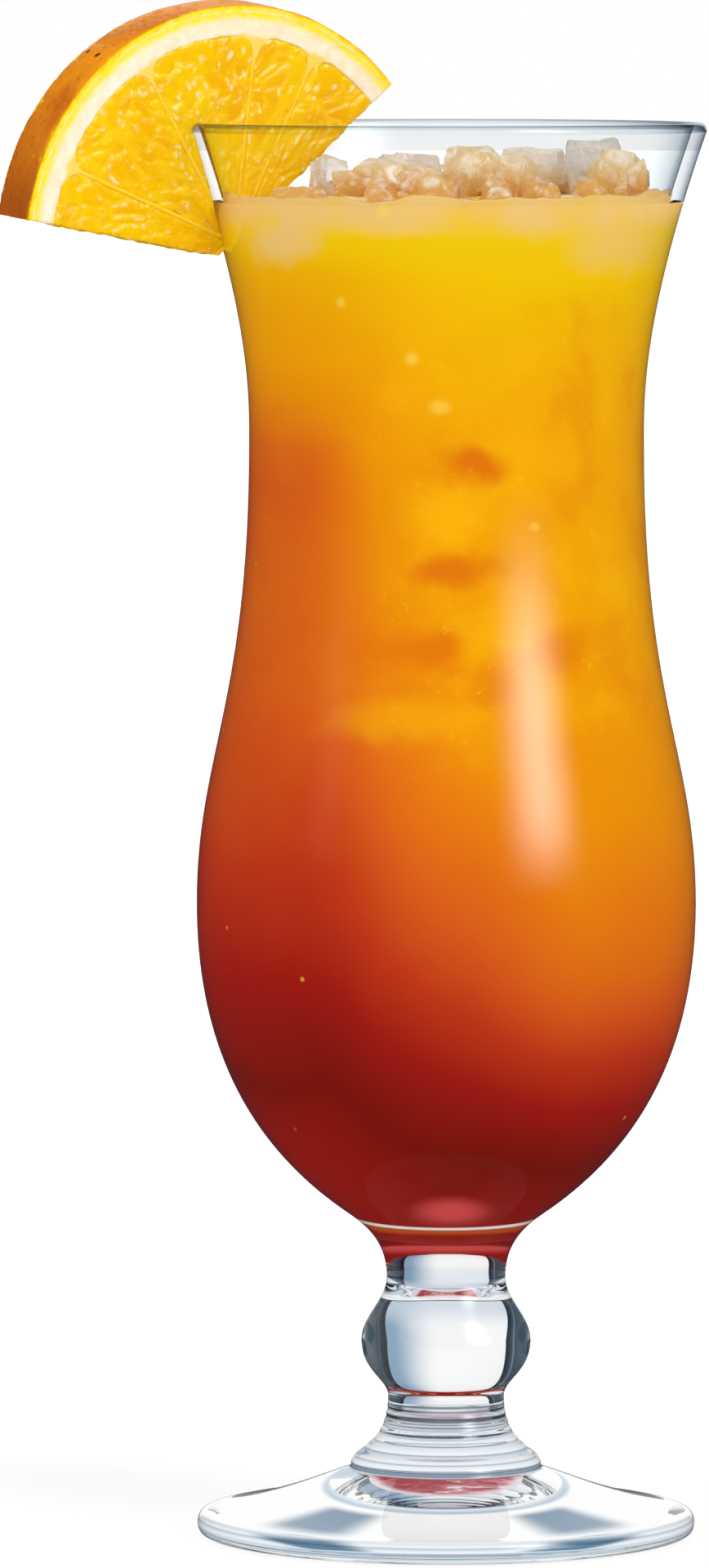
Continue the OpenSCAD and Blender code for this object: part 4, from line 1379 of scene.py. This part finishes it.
@dataclass
class OrangeWedge:
    """A wedge of orange that hangs on the rim by its cut slot."""

    glass: GlassBody
    radius: float = 34.2
    thick: float = 9.0
    peel: float = 1.5
    pith: float = 3.2
    membrane: float = 0.7
    lower_drop: float = 2.4
    lower_lean: float = 10.0
    upper_angle: float = 41.5
    hang_drop: float = 16.7
    hang_inset: float = 4.6
    turn: float = 30.0
    lean: float = 4.0
    slot_press: float = 0.15
    overlap: float = 0.2
    peel_overlap: float = 0.5
    corner: float = 2.8
    grain: float = 0.27
    pith_grain: float = 0.216
    peel_grain: float = 0.26
    circle_steps: int = 200
    face_slope: float = 0.45
    cell_turns: float = 17.0
    membranes: tuple = (65.0, 85.0, 121.5, 158.0)

    def place(self) -> Matrix:
        """Returns where the flat slice hangs, in millimetres."""
        moved = Matrix.Translation((self.hang_inset - self.glass.rim_radius, 0, self.glass.height - self.hang_drop))
        turned = Matrix.Rotation(math.radians(self.turn), 4, "Z")
        return moved @ turned @ Matrix.Rotation(math.radians(90 + self.lean), 4, "X")

    def flesh_radius(self) -> float:
        """Returns the radius at which the pulp meets the pith."""
        return self.radius - self.peel - self.pith

    @staticmethod
    def across(angle: float) -> Vector:
        """Returns the direction square to a line at an angle, in radians, from the slice's centre."""
        return Vector((math.sin(angle), -math.cos(angle), 0))

    def cuts(self) -> list[tuple[Vector, Vector]]:
        """Returns the two knife cuts, each a point and a normal towards what is cut away."""
        down = self.across(math.radians(-self.lower_lean))
        return [(down * self.lower_drop, down), (Vector((0, 0, 0)), self.across(math.radians(self.upper_angle)))]

    def trim(self, bm: Shape, fill: bool = False) -> None:
        """Makes the knife cuts.

        Args:
            bm: The shape.
            fill: Whether the cuts are closed.
        """
        for point, away in self.cuts():
            Workshop.cut(bm, point, away, fill)

    def sector(self, start: float, end: float, cut: bool, spare: float, grow: float) -> Shape:
        """Draws one pulp segment with round corners.

        Args:
            start: The angle of its first membrane, in degrees.
            end: The angle of its second membrane.
            cut: Whether the knife cuts are made.
            spare: How much thicker than the slice it is on each side.
            grow: How far it reaches into the pith round it.

        Returns:
            The closed segment.
        """
        bm = bmesh.new()
        reach, side = self.flesh_radius() + grow, grow - self.membrane / 2
        bmesh.ops.create_circle(bm, cap_ends=True, segments=self.circle_steps, radius=reach)
        angles = (math.radians(start), math.radians(end))
        flanks = [self.across(angle) * sign for angle, sign in zip(angles, (1, -1))]
        for away in flanks:
            Workshop.cut(bm, away * side, away, False)
        reach, inset = reach - self.corner, side - self.corner
        for angle, away in zip(angles, flanks):
            along = Vector((math.cos(angle), math.sin(angle), 0))
            middle = away * inset + along * math.sqrt(reach ** 2 - inset ** 2)
            for share in (0.2, 0.4, 0.6, 0.8):
                aim = (away * (1 - share) + middle.normalized() * share).normalized()
                Workshop.cut(bm, middle + aim * self.corner, aim, False)
        if cut:
            self.trim(bm)
        Workshop.thickened(bm, self.thick / 2 + spare)
        return bm

    def segments(self) -> list[tuple[str, float, float]]:
        """Returns each pulp segment with the angles of its two membranes."""
        first, second, third, fourth = self.membranes
        return [
            ("pulp_lower_left", fourth, 180 + first / 2),
            ("pulp_left", third, fourth),
            ("pulp_top", second, third),
            ("pulp_upper_right", first, second),
            ("pulp_right", 0.0, first),
        ]

    def relief(self, piece: Piece, seed: float) -> None:
        """Raises the juice cells of a segment and marks them for its finish.

        Args:
            piece: The segment, with an even skin.
            seed: Where the pattern starts.
        """
        mesh, normals, cuts = piece.data, Workshop.normals(piece), self.cuts()
        flanks = [vert.index for vert, normal in zip(mesh.vertices, normals) if abs(normal.z) < self.face_slope]
        tree = kdtree.KDTree(len(flanks))
        for index in flanks:
            spot = mesh.vertices[index].co
            tree.insert((spot.x, spot.y, 0), index)
        tree.balance()
        marks = {name: mesh.attributes.new(name, "FLOAT", "POINT") for name in ("wall", "cell", "pale_fleck_and_glint", "edge")}
        for vert, normal in zip(mesh.vertices, normals):
            spot = vert.co.copy()
            out, turn = spot.to_2d().length, math.atan2(spot.y, spot.x) * self.cell_turns
            sway = noise.noise_vector(spot * 0.22) * 0.9
            field = Vector((turn / 1.45 + sway.x, out / 3.3 + sway.y, seed + (spot.z + 20) * 0.16))
            near, centres = noise.voronoi(field)
            gap = near[1] - near[0]
            chance = noise.cell(centres[0] * 5.0)
            # Pale flecks, partly cell walls and partly painted glints.
            fine_near, fine_centres = noise.voronoi(Vector((turn / 0.55, out / 1.5, seed + 7)) + sway * 2)
            pick = noise.cell(fine_centres[0] * 3.7 + Vector((9, 4, 2)))
            patchy = noise.noise(spot * 0.16 + Vector((seed, 3, 1)))
            pale_fleck_and_glint = (1 - eased(fine_near[0], 0.18, 0.42)) * eased(pick + patchy * 0.5, 0.42, 0.62)
            edge = 1 - eased(tree.find((spot.x, spot.y, 0))[2], 0.0, 1.2)
            faces_out = abs(normal.z) > self.face_slope
            lift = 0.0
            if faces_out:
                lift = 0.16 * eased(gap, 0.0, 0.3) + 0.1 * chance + 0.12 * pale_fleck_and_glint - 0.04 * edge - 0.16
            elif any(abs((spot - point).dot(away)) < 0.3 for point, away in cuts):
                lift = noise.noise(spot * 0.45 + Vector((seed, 0, 5))) * 0.45 + noise.noise(spot * 1.3) * 0.15
            vert.co = spot + normal * lift
            shares = {
                "wall": 1 - eased(gap, 0.03, 0.22), "cell": 0.5 + 0.5 * chance, "pale_fleck_and_glint": pale_fleck_and_glint,
                "edge": edge if faces_out else 0.3,
            }
            for name, share in shares.items():
                marks[name].data[vert.index].value = min(1.0, max(0.0, share))

    def build_pulp(self, slot: Piece) -> list[Piece]:
        """Builds the pulp segments.

        Args:
            slot: The space of the glass wall, in the slice's own frame.

        Returns:
            The segments.
        """
        pieces = []
        for count, (name, start, end) in enumerate(self.segments()):
            piece = Workshop.made(name + "_flesh", self.sector(start, end, True, 0.0, self.overlap))
            Workshop.less(piece, slot)
            Workshop.even(piece, self.grain)
            self.relief(piece, 10.0 + 7.3 * count)
            Workshop.placed(piece, self.place())
            pieces.append(piece)
        return pieces

    def build_pith(self, slot: Piece) -> Piece:
        """Builds the pith with its membranes.

        Args:
            slot: The space of the glass wall, in the slice's own frame.

        Returns:
            The piece.
        """
        bm = bmesh.new()
        reach = self.radius - self.peel + self.peel_overlap
        bmesh.ops.create_circle(bm, cap_ends=True, segments=self.circle_steps, radius=reach)
        self.trim(bm)
        Workshop.thickened(bm, self.thick / 2)
        piece = Workshop.made("orange_pith_and_membranes", bm)
        for _, start, end in self.segments():
            hole = Workshop.made("hole", self.sector(start, end, False, 1.0, 0.0))
            Workshop.less(piece, hole)
            Workshop.dropped(hole)
        Workshop.less(piece, slot)
        Workshop.even(piece, self.pith_grain)
        for vert, normal in zip(piece.data.vertices, Workshop.normals(piece)):
            vert.co += normal * (noise.noise(vert.co * 0.5) * 0.12 + noise.noise(vert.co * 1.5) * 0.04)
        Workshop.placed(piece, self.place())
        return piece

    def build_peel(self, slot: Piece) -> Piece:
        """Builds the peel with its dimples.

        Args:
            slot: The space of the glass wall, in the slice's own frame.

        Returns:
            The piece.
        """
        inner, half = self.radius - self.peel, self.thick / 2
        levels = [half * share for share in (-1, -0.8, -0.5, 0, 0.5, 0.8, 1)]
        bulge = [Vector((math.sqrt(self.radius ** 2 - level ** 2), 0, level)) for level in levels]
        outline = [Vector((inner, 0, -half)), *bulge, Vector((inner, 0, half))]
        bm = Workshop.turned(outline, self.circle_steps, closed=True)
        self.trim(bm, True)
        bmesh.ops.recalc_face_normals(bm, faces=bm.faces[:])
        piece = Workshop.made("orange_peel_rind", bm)
        Workshop.less(piece, slot)
        Workshop.even(piece, self.peel_grain)
        for vert, normal in zip(piece.data.vertices, Workshop.normals(piece)):
            spot = vert.co.copy()
            near = noise.voronoi(spot * 0.72)[0]
            outer = eased(spot.to_2d().length, self.radius - 0.5, self.radius - 0.1)
            pit = 0.2 * (1 - eased(near[0], 0.0, 0.42)) * outer
            wave = noise.noise(spot * 0.16) * 0.25 + noise.noise(spot * 0.6) * 0.08
            vert.co = spot + normal * (wave * outer - pit)
        Workshop.placed(piece, self.place())
        return piece

    def build(self) -> None:
        """Builds the wedge, dresses it and ties it to its nodes."""
        place = self.place()
        slot = self.glass.slot_cutter(-self.slot_press)
        slot.data.transform(place.inverted())
        peel, pith, flesh = self.build_peel(slot), self.build_pith(slot), self.build_pulp(slot)
        Workshop.dropped(slot)
        peel.data.materials.append(OrangeSkin("orange_skin", place, self.radius).material())
        fitted(peel, Body.WEDGE, Slot.PEEL, "orange_peel")
        white = WhitePith("white_pith", place, self.flesh_radius(), self.radius - self.peel)
        pith.data.materials.append(white.material())
        fitted(pith, Body.WEDGE, Slot.PITH, "orange_pith")
        juicy = JuicyPulp("juicy_pulp", place).material()
        for piece, (name, _, _) in zip(flesh, self.segments()):
            piece.data.materials.append(juicy)
            fitted(piece, Body.WEDGE, Slot.PULP, name)


@dataclass
class Studio:
    """The pale floor, the soft light and the camera, in metres."""

    camera_distance: float = 1.68
    camera_height: float = 0.228
    camera_side: float = -0.01325
    camera_pitch: float = 4.062
    lens: float = 268.0
    sensor: float = 36.0
    clip: tuple = (0.05, 60.0)
    aim: tuple = (0, 0, 0.12)
    floor_half: float = 12.0
    floor_drop: float = 0.0003
    rings_end: float = 0.0168
    gloss_dark: tuple = (0.02, 0.022, 0.028)
    panel_blue: tuple = (0.24, 0.38, 0.52)
    panel_low: tuple = (0.6, 0.69, 0.77)
    panel_side: tuple = (0.045, 0.075, 0.105)
    panel_line: tuple = (0.04, 0.055, 0.08)
    corner_blue: tuple = (0.15, 0.26, 0.38)
    high_sky: tuple = (0.5, 0.6, 0.69)
    soft_sky: tuple = (0.82, 0.82, 0.82)
    soft_boxes: tuple = ((133, 7.8, 0.48), (-118, 0.25, 0.3))
    gaps: tuple = (
        (0.0, WHITE), (0.735, WHITE), (0.745, (0.004, 0.006, 0.01)), (0.82, (0.015, 0.025, 0.04)),
        (0.89, (0.05, 0.07, 0.1)), (0.93, (0.2, 0.24, 0.3)), (0.96, (0.04, 0.06, 0.09)), (1.0, (0.015, 0.025, 0.04)),
    )
    # Painted rings under the foot that the foot shows in place of its own refraction lines.
    painted_foot_rings: tuple = (
        (0.0, (0.42, 0.52, 0.61)), (0.3, (0.7, 0.77, 0.83)), (0.42, (0.1, 0.16, 0.23)), (0.46, (0.85, 0.9, 0.93)),
        (0.6, (0.3, 0.42, 0.53)), (0.68, (0.95, 0.97, 1.0)), (0.76, (0.16, 0.24, 0.33)), (0.8, (0.9, 0.93, 0.96)),
        (0.9, (0.45, 0.57, 0.68)), (0.96, WHITE),
    )

    def panels(
        self, bench: ShadeBench, heading: Socket, level: Socket, top: float, corners: object, sky: tuple
    ) -> Socket:
        """Paints what clear glass bends into view: pale panels at the four sides with dark gaps between them.

        Args:
            bench: The bench of the material or the world.
            heading: The direction round the upright axis, in radians.
            level: The angle above or below the horizon, in radians.
            top: The angle at which the panels end.
            corners: How strong the blue corners past them are.
            sky: The colour past them.

        Returns:
            The colour.
        """
        quarter = bench.math("WRAP", heading, math.pi / 4, -math.pi / 4)
        off = bench.math("DIVIDE", bench.math("ABSOLUTE", quarter), math.pi / 4)
        panel = bench.mix(bench.span(quarter, 0.06, 0.5), WHITE, self.panel_blue)
        panel = bench.lay(panel, self.panel_low, bench.span(level, -0.14, -0.4, 0.0, 0.75))
        near = bench.mix(1.0, panel, bench.ramp(off, self.gaps), "MULTIPLY")
        turned = bench.math("ABSOLUTE", bench.math("COSINE", heading))
        near = bench.lay(near, self.panel_side, bench.span(turned, 0.75, 0.68), bench.span(turned, 0.16, 0.24))
        steep = bench.math("ABSOLUTE", level)
        line = bench.lay(near, self.panel_line, bench.span(steep, top, top + 0.005))
        corner = bench.span(bench.math("COSINE", bench.times(heading, 4.0)), -0.1, -0.9)
        front = bench.span(bench.math("COSINE", heading), -0.3, -0.6)
        high = bench.lay(sky, self.corner_blue, corner, front, corners)
        return bench.lay(line, high, bench.span(steep, top + 0.02, top + 0.03))

    def build(self) -> None:
        """Builds the whole studio."""
        self.floor()
        self.light()
        self.surroundings()
        self.camera()

    def floor(self) -> None:
        """Lays a pale floor that shows white and keeps the shadow; to rays through the glass it shows painted panels,
        rings and blue patches under the foot, and to mirrored rays a plain dark.
        """
        bm = bmesh.new()
        bmesh.ops.create_grid(bm, x_segments=1, y_segments=1, size=self.floor_half)
        bmesh.ops.translate(bm, verts=bm.verts[:], vec=(0, 0, -self.floor_drop))
        piece = Workshop.made("studio_floor", bm)
        material, bench = new_material("studio_floor")
        place = bench.add("TexCoord").outputs["Object"]
        east, north, _ = bench.split(place)
        away, path = bench.length(place), bench.add("LightPath").outputs
        strength = bench.times(path["Is Camera Ray"], bench.span(away, 0.03, 0.35, 0.22, 0.6))
        grey, glow = bench.closure("BsdfDiffuse", Color=(0.8, 0.8, 0.8)), bench.closure("Emission", Strength=strength)
        shown = bench.add("AddShader", {0: grey, 1: glow}).outputs[0]
        # Painted blue patches and rings under the foot, seen only through the glass, stand in for what the foot bends
        # into view.
        painted_foot_patches = bench.times(bench.span(away, 0.0165, 0.019), bench.span(away, 0.032, 0.027))
        heading, level = bench.math("ARCTAN2", east, north), bench.math("ARCTAN2", -0.03, away)
        under = self.panels(bench, heading, level, 0.48, painted_foot_patches, WHITE)
        painted_foot_rings = bench.ramp(bench.math("DIVIDE", away, self.rings_end), self.painted_foot_rings)
        under = bench.lay(under, painted_foot_rings, bench.span(away, 0.0165, 0.0156))
        for flag, colour in (("Is Glossy Ray", self.gloss_dark), ("Is Transmission Ray", under)):
            shown = bench.blend(path[flag], shown, bench.closure("Emission", Color=colour))
        bench.finish(shown)
        piece.data.materials.append(material)

    def lamp(self, name: str, place: tuple, size: float, power: float) -> None:
        """Hangs a square soft lamp that faces the glass.

        Args:
            name: The lamp's name.
            place: Where it hangs.
            size: The length of its side.
            power: Its power in watts.
        """
        data = bpy.data.lights.new(name, "AREA")
        data.size, data.energy = size, power
        lamp = bpy.data.objects.new(name, data)
        lamp.location = place
        lamp.rotation_euler = (Vector(self.aim) - Vector(place)).to_track_quat("-Z", "Y").to_euler()
        lamp.visible_glossy = lamp.visible_transmission = False
        bpy.context.scene.collection.objects.link(lamp)

    def light(self) -> None:
        """Hangs the lamps."""
        self.lamp("key_lamp", (1.1, -1.2, 1.3), 1.0, 14.0)
        self.lamp("fill_lamp", (-1.2, -0.9, 0.9), 1.2, 7.0)

    def surroundings(self) -> None:
        """Paints the studio round the glass: white to the camera, with panels and dark gaps for glass and gloss."""
        world = bpy.data.worlds.new("studio")
        bpy.context.scene.world = world
        world.use_nodes = True
        bench = ShadeBench(world.node_tree)
        east, north, up = bench.split(bench.add("TexCoord").outputs["Generated"])
        heading, level = bench.math("ARCTAN2", east, north), bench.math("ARCSINE", up)
        through = self.panels(bench, heading, level, 0.85, 1.0, self.high_sky)
        gloss: object = self.gloss_dark
        for centre, strength, wide in self.soft_boxes:
            aside = bench.math("WRAP", bench.math("SUBTRACT", heading, math.radians(centre)), math.pi, -math.pi)
            near = bench.math("POWER", bench.span(bench.math("ABSOLUTE", aside), wide, 0.0), 1.6)
            box = bench.times(bench.span(level, -0.02, 0.3), bench.span(level, 1.0, 0.7))
            gloss = bench.lay(gloss, (strength, strength, strength), near, box)
        behind = bench.span(bench.math("ABSOLUTE", heading), 0.32, 0.18)
        gloss = bench.lay(gloss, WHITE, behind, bench.span(level, -0.08, -0.02))
        path = bench.add("LightPath").outputs
        shown = bench.mix(path["Is Glossy Ray"], self.soft_sky, gloss)
        shown = bench.mix(path["Is Transmission Ray"], shown, through)
        shown = bench.mix(path["Is Camera Ray"], shown, WHITE)
        bench.add("OutputWorld", {"Surface": bench.closure("Background", Color=shown)})

    def camera(self) -> None:
        """Stands the camera where the picture was taken from."""
        data = bpy.data.cameras.new("camera")
        data.lens, data.sensor_width = self.lens, self.sensor
        data.clip_start, data.clip_end = self.clip
        camera = bpy.data.objects.new("camera", data)
        camera.location = (self.camera_side, -self.camera_distance, self.camera_height)
        camera.rotation_euler = (math.radians(90 - self.camera_pitch), 0, 0)
        bpy.context.scene.collection.objects.link(camera)
        bpy.context.scene.camera = camera


def main() -> None:
    """Builds the object and its studio, in order."""
    logging.basicConfig(level=logging.INFO, format="%(message)s")
    bpy.context.scene.view_settings.view_transform = "Standard"
    glass = GlassBody()
    glass.dress(glass.build())
    drink = LayeredDrink(glass)
    drink.dress(drink.build())
    CrushedIce().build()
    OrangeWedge(glass).build()
    Studio().build()


if __name__ == "__main__":
    main()
